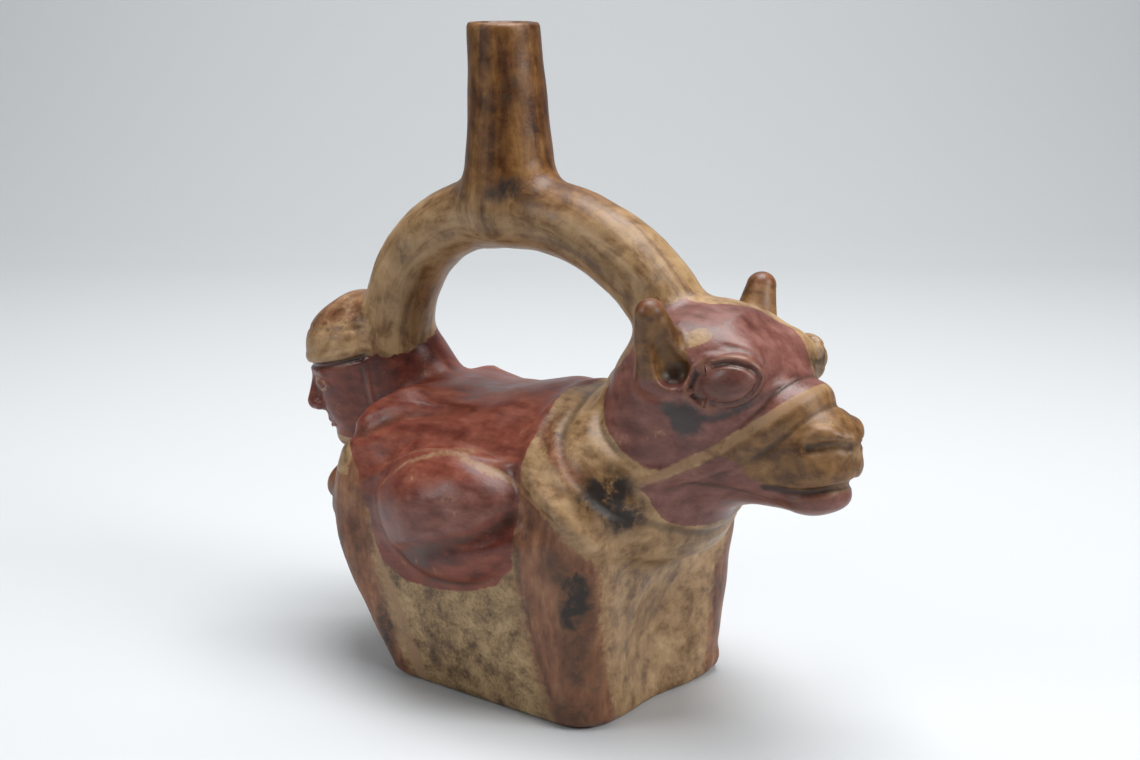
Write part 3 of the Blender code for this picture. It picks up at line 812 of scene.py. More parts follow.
@dataclass
class RiderHead(Figure):
    """The rider's head, in shares of its height."""

    origin: tuple = (-0.090, 0.0, 0.0985)
    measure: tuple = (0.056, 0.056, 0.056)
    reach: float = 0.056
    yaw: float = 220.0
    pitch: float = 12.0
    eyeball: int = 10
    lip_line: int = 7
    forms: tuple = (
        Lump((-0.02, 0.0, 0.08), (0.385, 0.35, 0.46), blend=0.08),
        Lump((0.06, 0.0, 0.215), (0.345, 0.325, 0.295), blend=0.06),
        Lump((-0.24, 0.0, -0.12), (0.30, 0.36, 0.42), blend=0.12),
        Roll((-0.24, 0.12, -0.06), (-0.44, 0.28, -0.30), 0.31, 0.26, blend=0.12),
        Lump((0.12, 0.0, -0.10), (0.265, 0.28, 0.37), blend=0.06),
        Lump((0.235, 0.0, -0.405), (0.10, 0.12, 0.085), blend=0.08),
        Roll((-0.02, 0.21, -0.22), (0.18, 0.09, -0.40), 0.10, 0.085, blend=0.08, paired=True),
        Roll((0.355, 0.03, 0.095), (0.295, 0.20, 0.085), 0.035, 0.030, blend=0.04, paired=True),
        Roll((0.345, 0.0, 0.09), (0.425, 0.0, -0.13), 0.042, 0.058, blend=0.04),
        Lump((0.385, 0.055, -0.155), (0.055, 0.040, 0.038), blend=0.02, paired=True),
        Lump((0.325, 0.135, 0.005), (0.050, 0.080, 0.042), yaw=25, blend=0.015, paired=True),
        Roll((0.375, 0.0, -0.265), (0.325, 0.105, -0.285), 0.024, 0.012, blend=0.02, paired=True),
        Roll((0.370, 0.0, -0.310), (0.325, 0.095, -0.300), 0.026, 0.012, blend=0.02, paired=True),
    )
    lines: tuple = (
        # The headband's edges, the cap's edge, and the headcloth's front edge
        Line(((-0.04, 0.36, 0.17), (0.16, 0.31, 0.15), (0.33, 0.15, 0.14), (0.38, 0.0, 0.14)), 0.035, -0.030),
        Line(((-0.06, 0.36, 0.20), (0.16, 0.31, 0.19), (0.33, 0.15, 0.185), (0.38, 0.0, 0.185)),
             0.050, 0.016),
        Line(((-0.06, 0.34, 0.36), (0.14, 0.27, 0.35), (0.28, 0.12, 0.345), (0.32, 0.0, 0.34)),
             0.030, -0.006),
        Line(((-0.02, 0.36, 0.16), (-0.01, 0.34, -0.10), (-0.02, 0.29, -0.36)), 0.030, 0.014),
        Line(((0.02, 0.36, 0.15), (0.03, 0.33, -0.10), (0.02, 0.28, -0.36)), 0.018, -0.005),
        # Eyelids, the line between the lips, and the nostrils
        Line(((0.36, 0.07, 0.0), (0.36, 0.13, 0.042), (0.27, 0.22, 0.0)), 0.022, 0.012),
        Line(((0.36, 0.07, -0.005), (0.35, 0.14, -0.038), (0.27, 0.22, -0.005)), 0.020, 0.010),
        Line(((0.39, 0.0, -0.287), (0.36, 0.06, -0.290), (0.315, 0.115, -0.298)), 0.014, -0.016),
        Line(((0.42, 0.035, -0.19), (0.40, 0.06, -0.19), (0.38, 0.075, -0.18)), 0.014, -0.014),
        crease(((0.36, 0.085, -0.13), (0.335, 0.12, -0.19), (0.31, 0.14, -0.25)), 0.025, -0.008),
    )

    def paint(self, mm: np.ndarray, marks: Marks) -> None:
        """Paints the face, the headband and the headcloth.

        Args:
            mm: Places in millimetres.
            marks: The slips, changed in place.
        """
        q = mirrored(self.local(mm * MM))
        x, y, z = q.T
        mine = self.near(mm * MM) & (mm[:, 2] > 72.0) & (x > -0.62) & (mm[:, 0] < -58)
        unit = self.measure[0] / MM
        band = np.minimum(z - 0.165, x + 0.08) * unit
        face = np.minimum.reduce((0.155 - z, x + 0.02 * z)) * unit
        marks[Slip.RED] = np.where(mine, np.minimum(marks[Slip.RED], -band), marks[Slip.RED])
        cloth = held((-0.03 - x) * unit / 2.0) * held((0.20 - z) * unit / 2.0)
        tone = np.where(face > 0, -0.45, 0.0) - 0.75 * cloth
        marks[Slip.TONE] = np.where(mine, tone, marks[Slip.TONE])
        # Painted shade under the headband's edge and in the crease between the lips; the iris is the eye's
        # painted colour
        shade_under_band = fading((z - 0.150) * unit, 0.75) * (x > 0.0)
        eye = self.forms[self.eyeball].distance(q) * unit
        rim = fading(eye - 0.55, 0.5) * (x > 0.2)
        iris = np.exp(-np.square(np.linalg.norm((q - (0.362, 0.125, 0.004)) * unit, axis=1) / 1.25) ** 2)
        lips = path_distance(q, self.laid[self.lip_line])[0] * unit
        line = np.maximum.reduce((0.75 * shade_under_band, 0.8 * iris, 0.7 * fading(lips, 0.5)))
        marks[Slip.DARK] = np.where(mine, np.maximum(marks[Slip.DARK], line), marks[Slip.DARK])
        marks[Slip.PALE] = np.where(mine, np.where(rim > 0.45, 0.5, BARE), marks[Slip.PALE])
        collar, _ = path_distance(mirrored(mm), np.array(((-80, 24, 84), (-74, 29, 82), (-69, 33, 81))))
        lay_over(marks, Slip.PALE, np.where(x < 0.1, 1.7 - collar, BARE))
        cap = np.minimum(np.clip((z - 0.40) * unit / 2.0, BARE, 0.1), band)
        marks[Slip.WASH] = np.where(mine, cap, marks[Slip.WASH])


@dataclass
class Weathering:
    """Fire clouds, stains, chips and the unevenness of clay worked by hand."""

    swell: float = 0.00016
    chips: tuple = (
        Pit((-0.0166, -0.0113, 0.2255), 0.0011, 0.0007),
        Pit((-0.0189, -0.0126, 0.2283), 0.0017, 0.0003),
        Pit((-0.0290, -0.0102, 0.2303), 0.0016, 0.0004),
        Pit((0.0660, -0.0225, 0.0905), 0.0009, 0.0004),
        Pit((0.1180, -0.0050, 0.0965), 0.0008, 0.0005),
        Pit((-0.0300, -0.0410, 0.0010), 0.0025, 0.0006),
    )
    clouds: tuple = (
        Stain((52, -38, 84), (8, 9, 8), 1.9),
        Stain((57, -34, 77), (6.5, 8, 6.5), 1.6),
        Stain((47, -42, 80), (4, 6, 4), 0.55),
        Stain((61, -30, 79), (4, 5, 3), 0.5),
        Stain((45, -44, 46), (5.5, 7, 17), 1.35),
        Stain((44, -44, 27), (6, 7, 14), 0.9),
        Stain((48, -36, 18), (4, 5, 12), 0.35),
        Stain((39, -47, 58), (6, 5, 8), 0.6),
        Stain((-42.5, -43, 17), (4.5, 7, 13), 1.0),
        Stain((-8.2, -13.8, 175.3), (5.5, 6, 4.2), 1.15),
        Stain((-13.6, -13.6, 172.8), (6, 6, 3.2), 0.8),
        Stain((-11.8, -10, 207.8), (2.6, 5, 5.6), 0.95),
        Stain((-33, -8, 200), (4, 8, 18), 0.3),
        Stain((-61.8, -12.8, 148.6), (7, 7, 7), 0.4),
        Stain((-60, -5, 129), (6, 7, 9), 0.5),
        Stain((49, -11, 149), (8, 9, 7), 0.42),
        Stain((30, -11, 164), (9, 9, 4), 0.3),
        Stain((98, 14, 124), (5, 6, 6), 0.75),
        Stain((-68, 30, 61), (8, 9, 8), 0.3),
        Stain((-68, -30, 68), (7, 9, 4), 0.45),
        Stain((10, 50, 20), (14, 9, 10), 0.4),
        Stain((-75, 0, 45), (9, 14, 12), 0.35),
        Stain((41, -40, 6), (15, 14, 9), 0.5),
    )
    grey_marks: tuple = (
        Stain((76.0, -28, 110.5), (6.0, 9, 6.2), 1.6),
        Stain((71.5, -30, 113.5), (4.2, 8, 3.6), 1.2),
        Stain((80.5, -27, 107.0), (3.4, 7, 3.0), 0.6),
    )
    under_eye: tuple = ((79.5, 111.5), (84.0, 111.5), (89.5, 113.6), (95.5, 117.8), (100.5, 121.2))

    def uneven(self, p: np.ndarray) -> np.ndarray:
        """The slow swell that hands leave on a surface, in metres.

        Args:
            p: Places in metres.

        Returns:
            How far the surface sinks at each place.
        """
        draw = np.random.default_rng(7)
        total = np.zeros(len(p))
        for _ in range(12):
            wave = draw.normal(size=3)
            wave *= 2 * math.pi / draw.uniform(0.011, 0.030) / np.linalg.norm(wave)
            total += np.sin(p @ wave + draw.uniform(0, 6.28))
        return total * self.swell / math.sqrt(6.0)

    def chip(self, clay: np.ndarray, p: np.ndarray) -> np.ndarray:
        """Takes the chips out of the clay.

        Args:
            clay: The field's values so far.
            p: Where they were read.

        Returns:
            The values with the chips taken out.
        """
        for pit in self.chips:
            near = np.square((p - np.array(pit.place)) / pit.radius).sum(axis=1)
            clay = clay + pit.depth * held(1.0 - near) ** 2
        return clay

    def paint(self, mm: np.ndarray, marks: Marks) -> None:
        """Lays the clouds and grey marks over the slips.

        Args:
            mm: Places in millimetres.
            marks: The slips, changed in place.
        """
        for cloud in self.clouds:
            lay_over(marks, Slip.SOOT_AND_SHADE, cloud.on(mm))
        for mark in self.grey_marks:
            lay_over(marks, Slip.GREY, mark.on(mm))
        streak, share = path_distance(np.stack((mm[:, 0], mm[:, 2]), axis=1), np.array(self.under_eye))
        shade = fading(streak, 2.0) * np.where(mm[:, 1] < -8, 1.0 - 0.5 * share, 0.0)
        lay_over(marks, Slip.GREY, shade)


@dataclass
class Bottle:
    """The whole fired piece: the forms, their hollow and their slips."""

    chamber: Chamber = field(default_factory=Chamber)
    stirrup: Stirrup = field(default_factory=Stirrup)
    spout: Spout = field(default_factory=Spout)
    trunk: Trunk = field(default_factory=Trunk)
    llama: LlamaHead = field(default_factory=LlamaHead)
    rider: RiderHead = field(default_factory=RiderHead)
    weathering: Weathering = field(default_factory=Weathering)
    spout_fillet: float = 0.008
    foot_fillet: float = 0.005
    bore_fillet: float = 0.006
    hollow_fillet: float = 0.004
    calm_band: float = 0.004
    calm_from: float = 0.152
    calm_share: float = 0.55
    plug_height: float = 0.030
    plug_drop: float = 0.0152
    inner_skin: float = 0.0013
    grain: float = 0.00151
    quick_grain: float = 1.6
    cavity_grain: float = 0.0026
    cavity_triangles: int = 9000

    def figures(self) -> tuple[Figure, ...]:
        """The three figures, in the order in which they are worked in."""
        return self.trunk, self.llama, self.rider

    def plain(self, p: np.ndarray, floor: float = 0.0) -> np.ndarray:
        """The field of the chamber and figures, without relief.

        Args:
            p: Places in metres.
            floor: The height of the chamber's floor.

        Returns:
            Distances from their surface.
        """
        clay = self.chamber.clay(p, floor)
        for figure in self.figures():
            clay = figure.add_to(clay, p)
        return clay

    def handle(self, p: np.ndarray) -> np.ndarray:
        """The field of the stirrup and its spout."""
        return soft_union(self.stirrup.clay(p), self.spout.clay(p), self.spout_fillet)

    def outer(self, p: np.ndarray) -> np.ndarray:
        """The field of all the clay with its finest relief.

        Args:
            p: Places in metres.

        Returns:
            Distances from its surface.
        """
        edge = self.chamber.base_edge
        clay = soft_union(self.plain(p, -3 * edge), self.handle(p), self.foot_fillet)
        for figure in self.figures():
            clay = figure.press(clay, p)
        calm = held((self.spout.rim - p[:, 2]) / self.calm_band) * held(p[:, 2] / self.calm_band)
        calm *= np.where(p[:, 2] > self.calm_from, self.calm_share, 1.0)
        clay = clay + self.weathering.uneven(p) * calm
        clay = self.weathering.chip(clay, p)
        return rounded_corner(clay, -p[:, 2], edge)

    def hollow(self, p: np.ndarray) -> np.ndarray:
        """The field of the hollow inside, run past the spout's rim."""
        bore = soft_union(self.stirrup.clay(p) + self.stirrup.wall, self.spout.bore(p), self.bore_fillet)
        return soft_union(self.plain(p) + self.chamber.wall, bore, self.hollow_fillet)

    def solid(self) -> bmesh.types.BMesh:
        """The solid's own mesh, to be worked finer.

        Returns:
            The mesh.
        """
        clay = bmesh.new()
        clay.from_mesh(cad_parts[NODE].data)
        bmesh.ops.remove_doubles(clay, verts=clay.verts, dist=1e-6)
        return clay

    def outside(self, grain: float) -> bpy.types.Object:
        """The vessel's outside, closed at the spout's rim.

        Args:
            grain: The size of its squares.

        Returns:
            The object.
        """
        clay = self.solid()
        middle = Matrix.Translation((self.spout.x + self.spout.lean, 0.0, self.spout.rim - self.plug_drop))
        radius = self.spout.top_diameter / 2 - 0.5 * self.spout.wall
        bmesh.ops.create_cone(clay, cap_ends=True, segments=48, radius1=radius, radius2=radius,
                              depth=self.plug_height, matrix=middle)
        made = put_in_scene("fired_bottle", clay)
        remesh(made, grain)
        clay = bmesh.new()
        clay.from_mesh(made.data)
        skin = {min(clay.verts, key=lambda v: v.co.z)}
        front = set(skin)
        while front:
            front = {e.other_vert(v) for v in front for e in v.link_edges} - skin
            skin |= front
        bmesh.ops.delete(clay, geom=[v for v in clay.verts if v not in skin], context="VERTS")
        clay.to_mesh(made.data)
        clay.free()
        return made

    def cutter(self) -> bpy.types.Object:
        """What digs the hollow, run past the spout's rim.

        Returns:
            The object.
        """
        clay = self.solid()
        clay.verts.index_update()
        inner = self.hollow(np.array([v.co for v in clay.verts])) < self.inner_skin
        outside = [f for f in clay.faces if not all(inner[v.index] for v in f.verts)]
        bmesh.ops.delete(clay, geom=outside, context="FACES")
        rim = [e for e in clay.edges if e.is_boundary]
        for part in bmesh.ops.extrude_edge_only(clay, edges=rim)["geom"]:
            if isinstance(part, bmesh.types.BMVert):
                part.co.z += self.spout.past_rim
        bmesh.ops.holes_fill(clay, edges=[e for e in clay.edges if e.is_boundary], sides=0)
        bmesh.ops.recalc_face_normals(clay, faces=clay.faces)
        made = put_in_scene("hollow", clay)
        remesh(made, self.cavity_grain)
        even_out(made.data, self.hollow, rounds=2)
        thin = made.modifiers.new("thin_out", "DECIMATE")
        thin.ratio = self.cavity_triangles / (2.0 * len(made.data.polygons))
        apply_modifiers(made)
        return made

    def build(self) -> bpy.types.Object:
        """Works the outside fine, digs the hollow and paints the surface.

        Returns:
            The bottle's one piece.
        """
        for figure in self.figures():
            figure.lay_lines(self.plain)
        piece = self.outside(self.grain * (1.0))
        even_out(piece.data, self.outer, rounds=3)
        refine(piece.data, self.close_up, self.outer)
        cutter = self.cutter()
        dig = piece.modifiers.new("dig_out", "BOOLEAN")
        dig.solver, dig.operation, dig.object = "MANIFOLD", "DIFFERENCE", cutter
        apply_modifiers(piece)
        bpy.data.objects.remove(cutter)
        for polygon in piece.data.polygons:
            polygon.use_smooth = True
        self.paint(piece.data)
        return piece

    def close_up(self, p: np.ndarray) -> np.ndarray:
        """Which places are on a face and need a finer mesh.

        Args:
            p: Places in metres.

        Returns:
            True where they are.
        """
        q = self.llama.local(p)
        llama = (q[:, 0] > 0.0) & (np.abs(q[:, 1]) < 0.8) & (np.abs(q[:, 2]) < 0.75)
        r = self.rider.local(p)
        rider = (r[:, 0] > -0.10) & (np.abs(r[:, 1]) < 0.5) & (r[:, 2] > -0.6) & (r[:, 2] < 0.5)
        return llama | (rider & self.rider.near(p))

    def paint(self, mesh: bpy.types.Mesh) -> None:
        """Stores each slip, mark and depth of relief on the mesh.

        Args:
            mesh: The bottle's mesh.
        """
        p = coordinates(mesh)
        mm = p / MM
        count = len(p)
        marks: Marks = {slip: np.zeros(count) for slip in Slip}
        marks[Slip.RED] = np.full(count, BARE)
        self.trunk.paint(mm, marks)
        self.llama.paint(mm, marks)
        self.rider.paint(mm, marks)
        plain, handle = self.plain(p), self.handle(p)
        tube = (plain - handle) / MM
        marks[Slip.TUBE] = np.clip(tube - 0.8, BARE, -BARE)
        for slip in (Slip.RED, Slip.WASH, Slip.PALE):
            marks[slip] = np.where(tube > 0.8, np.minimum(marks[slip], 0.8 - tube), marks[slip])
        foot = self.stirrup.line()[len(self.stirrup.line()) // 2, 2] / MM
        lay_over(marks, Slip.GOLD, held((mm[:, 2] - foot + 3.0) / 14.0))
        self.weathering.paint(mm, marks)
        for slip, values in marks.items():
            store(mesh, slip.value, np.clip(values, BARE, -BARE))
        inside = held((-self.outer(p) - 0.0016) / 0.0004)
        store(mesh, "inside", inside)
        for name, reach in (("fine_relief", 0.0012), ("broad_relief", 0.0042)):
            corners = np.array(((1, -1, -1), (-1, -1, 1), (-1, 1, -1), (1, 1, 1))) * reach / math.sqrt(3)
            around = sum(self.outer(p + corner) for corner in corners) / 4 - self.outer(p)
            store(mesh, name, np.clip(around / reach * 4.0, -1.0, 1.0))
        self.store_streaks(mesh, p)

    def store_streaks(self, mesh: bpy.types.Mesh, p: np.ndarray) -> None:
        """Stores a space that is stretched along the spout and the arch, for their brush strokes.

        Args:
            mesh: The bottle's mesh.
            p: Its places in metres.
        """
        line = self.stirrup.line()
        _, share = path_distance(p, line)
        steps = np.diff(line, axis=0)
        passed = np.concatenate(([0.0], np.cumsum(np.linalg.norm(steps, axis=1))))
        along = share * passed[-1]
        middle = np.stack([np.interp(along, passed, line[:, axis]) for axis in range(3)], axis=1)
        lean = np.interp(along, passed, np.unwrap(np.arctan2(*np.gradient(line, axis=0)[:, (2, 0)].T)))
        outward = np.stack((-np.sin(lean), np.zeros(len(p)), np.cos(lean)), axis=1)
        arch = np.stack((along * 0.16, p[:, 1], ((p - middle) * outward).sum(axis=1)), axis=1)
        spout = np.stack((p[:, 2] * 0.12, p[:, 1], p[:, 0]), axis=1)
        on_spout = self.spout.clay(p) < self.stirrup.clay(p)
        space = np.where(on_spout[:, None], spout, arch)
        layer = mesh.attributes.new("stroke_space", "FLOAT_VECTOR", "POINT")
        layer.data.foreach_set("vector", space.astype(np.float32).ravel())


def put_in_scene(name: str, clay: bmesh.types.BMesh) -> bpy.types.Object:
    """Makes an object of a mesh and frees the mesh.

    Args:
        name: The object's name.
        clay: The mesh.

    Returns:
        The object.
    """
    mesh = bpy.data.meshes.new(name)
    clay.to_mesh(mesh)
    clay.free()
    made = bpy.data.objects.new(name, mesh)
    bpy.context.scene.collection.objects.link(made)
    return made


def coordinates(mesh: bpy.types.Mesh) -> np.ndarray:
    """The mesh's places, one in each row.

    Args:
        mesh: The mesh.

    Returns:
        Its places.
    """
    p = np.empty(len(mesh.vertices) * 3)
    mesh.vertices.foreach_get("co", p)
    return p.reshape(-1, 3)


def store(mesh: bpy.types.Mesh, name: str, values: np.ndarray) -> None:
    """Keeps one number for each of the mesh's places under a name.

    Args:
        mesh: The mesh, changed in place.
        name: The number's name.
        values: One number for each place.
    """
    layer = mesh.attributes.new(name, "FLOAT", "POINT")
    layer.data.foreach_set("value", values.astype(np.float32))


def apply_modifiers(made: bpy.types.Object) -> None:
    """Puts what the object's modifiers make in place of its mesh.

    Args:
        made: The object, changed in place.
    """
    graph = bpy.context.evaluated_depsgraph_get()
    graph.update()
    mesh = bpy.data.meshes.new_from_object(made.evaluated_get(graph))
    made.modifiers.clear()
    made.data = mesh


def remesh(made: bpy.types.Object, grain: float) -> None:
    """Gives the object an even skin of small squares.

    Args:
        made: The object.
        grain: The squares' size.
    """
    skin = made.modifiers.new("even_skin", "REMESH")
    skin.mode = "VOXEL"
    skin.voxel_size = grain
    apply_modifiers(made)


def even_out(mesh: bpy.types.Mesh, clay: Field, rounds: int) -> None:
    """Settles the mesh on a field's surface, its places spread evenly in each round.

    Args:
        mesh: The mesh, changed in place.
        clay: The field's function.
        rounds: How many times its places are spread.
    """
    p = coordinates(mesh)
    edges = np.empty(len(mesh.edges) * 2, int)
    mesh.edges.foreach_get("vertices", edges)
    a, b = edges.reshape(-1, 2).T
    count = np.bincount(np.concatenate((a, b)), minlength=len(p))[:, None]
    p = settle(p, clay, rounds=2, longest=0.003)
    for _ in range(rounds):
        total = np.zeros_like(p)
        for axis in range(3):
            total[:, axis] = np.bincount(a, p[b, axis], len(p)) + np.bincount(b, p[a, axis], len(p))
        p = settle(0.4 * p + 0.6 * total / count, clay, rounds=1)
    mesh.vertices.foreach_set("co", settle(p, clay, rounds=1).ravel())
    mesh.update()


def refine(mesh: bpy.types.Mesh, wanted: Field, clay: Field) -> None:
    """Cuts the squares in some places finer and settles the new places.

    Args:
        mesh: The mesh, changed in place.
        wanted: Says which places need it.
        clay: The field's function.
    """
    work = bmesh.new()
    work.from_mesh(mesh)
    chosen = wanted(np.array([v.co for v in work.verts]))
    edges = [e for e in work.edges if chosen[e.verts[0].index] and chosen[e.verts[1].index]]
    bmesh.ops.subdivide_edges(work, edges=edges, cuts=1, use_grid_fill=True)
    work.to_mesh(mesh)
    work.free()
    p = coordinates(mesh)
    loose = wanted(p) | (np.abs(clay(p)) > ON_SURFACE)
    p[loose] = settle(p[loose], clay, rounds=3)
    mesh.vertices.foreach_set("co", p.ravel())
    mesh.update()


class Bench:
    """A material's nodes, put together by name."""

    def __init__(self, name: str) -> None:
        """Starts a material.

        Args:
            name: The material's name.
        """
        self.material = bpy.data.materials.new(name)
        self.material.use_nodes = True
        self.tree = self.material.node_tree
        self.shader = self.tree.nodes["Principled BSDF"]
        self.place = self.tree.nodes.new("ShaderNodeTexCoord").outputs["Object"]

    def feed(self, socket: Socket, value: Value) -> None:
        """Links a socket to another, or sets its value.

        Args:
            socket: The socket that is fed.
            value: Another socket, a number or a row of numbers.
        """
        if isinstance(value, Socket):
            self.tree.links.new(value, socket)
        else:
            socket.default_value = value

    def attribute(self, name: str, output: str = "Fac") -> Socket:
        """The values stored on the mesh under a name.

        Args:
            name: Their name.
            output: Which of the node's outputs gives them.

        Returns:
            The values.
        """
        made = self.tree.nodes.new("ShaderNodeAttribute")
        made.attribute_name = name
        return made.outputs[output]

    def noise(self, scale: float, detail: float = 4.0, rough: float = 0.55, space: Socket | None = None,
              distortion: float = 0.0) -> Socket:
        """Cloudy noise.

        Args:
            scale: Clouds in a metre.
            detail: Steps of finer clouds.
            rough: How strong those are.
            space: The space that it fills, the object's own if none.
            distortion: How far it is stirred.

        Returns:
            The noise's value, near 0.5.
        """
        made = self.tree.nodes.new("ShaderNodeTexNoise")
        self.feed(made.inputs["Vector"], space or self.place)
        settings = {"Scale": scale, "Detail": detail, "Roughness": rough, "Distortion": distortion}
        for key, value in settings.items():
            made.inputs[key].default_value = value
        return made.outputs["Fac"]

    def plus(self, a: Value, b: Value) -> Socket:
        """Two values added."""
        return self.math("ADD", a, b)

    def times(self, a: Value, b: Value) -> Socket:
        """Two values multiplied."""
        return self.math("MULTIPLY", a, b)

    def average(self, a: Value, b: Value, share: float = 0.5) -> Socket:
        """Two values mixed, with that share of the second."""
        return self.plus(self.times(a, 1.0 - share), self.times(b, share))

    def math(self, operation: str, a: Value, b: Value = 0.0, clamp: bool = False) -> Socket:
        """Arithmetic on two values.

        Args:
            operation: Which.
            a: The first value.
            b: The second.
            clamp: Whether the result is held between 0 and 1.

        Returns:
            The result.
        """
        made = self.tree.nodes.new("ShaderNodeMath")
        made.operation, made.use_clamp = operation, clamp
        self.feed(made.inputs[0], a)
        self.feed(made.inputs[1], b)
        return made.outputs[0]

    def fit(self, value: Value, low: float, high: float, to_low: float = 0.0, to_high: float = 1.0,
            smooth: bool = True) -> Socket:
        """A value moved from one range to another.

        Args:
            value: What is moved.
            low: Where the first range starts.
            high: Where it ends.
            to_low: Where the second starts.
            to_high: Where it ends.
            smooth: Whether it eases in and out.

        Returns:
            The moved value.
        """
        made = self.tree.nodes.new("ShaderNodeMapRange")
        made.interpolation_type = "SMOOTHSTEP" if smooth else "LINEAR"
        self.feed(made.inputs["Value"], value)
        for key, number in (("From Min", low), ("From Max", high), ("To Min", to_low), ("To Max", to_high)):
            made.inputs[key].default_value = number
        return made.outputs["Result"]

    def mix(self, share: Value, a: Value, b: Value) -> Socket:
        """Two colours mixed.

        Args:
            share: How much of the second.
            a: The first, a socket or three numbers.
            b: The second.

        Returns:
            The mixed colour.
        """
        made = self.tree.nodes.new("ShaderNodeMix")
        made.data_type, made.blend_type = "RGBA", "MIX"
        factor, first, second = made.inputs[0], made.inputs[6], made.inputs[7]
        self.feed(factor, share)
        for socket, colour in ((first, a), (second, b)):
            self.feed(socket, (*colour, 1.0) if isinstance(colour, tuple) else colour)
        return made.outputs[2]

    def shades(self, value: Value, colours: tuple) -> Socket:
        """A row of colours along a value.

        Args:
            value: The value.
            colours: Pairs of a place from 0 to 1 and a colour.

        Returns:
            The colour at the value.
        """
        made = self.tree.nodes.new("ShaderNodeValToRGB")
        stops = made.color_ramp.elements
        while len(stops) < len(colours):
            stops.new(0.5)
        for stop, (at, colour) in zip(stops, colours):
            stop.position, stop.color = at, (*colour, 1.0)
        self.feed(made.inputs["Fac"], value)
        return made.outputs["Color"]


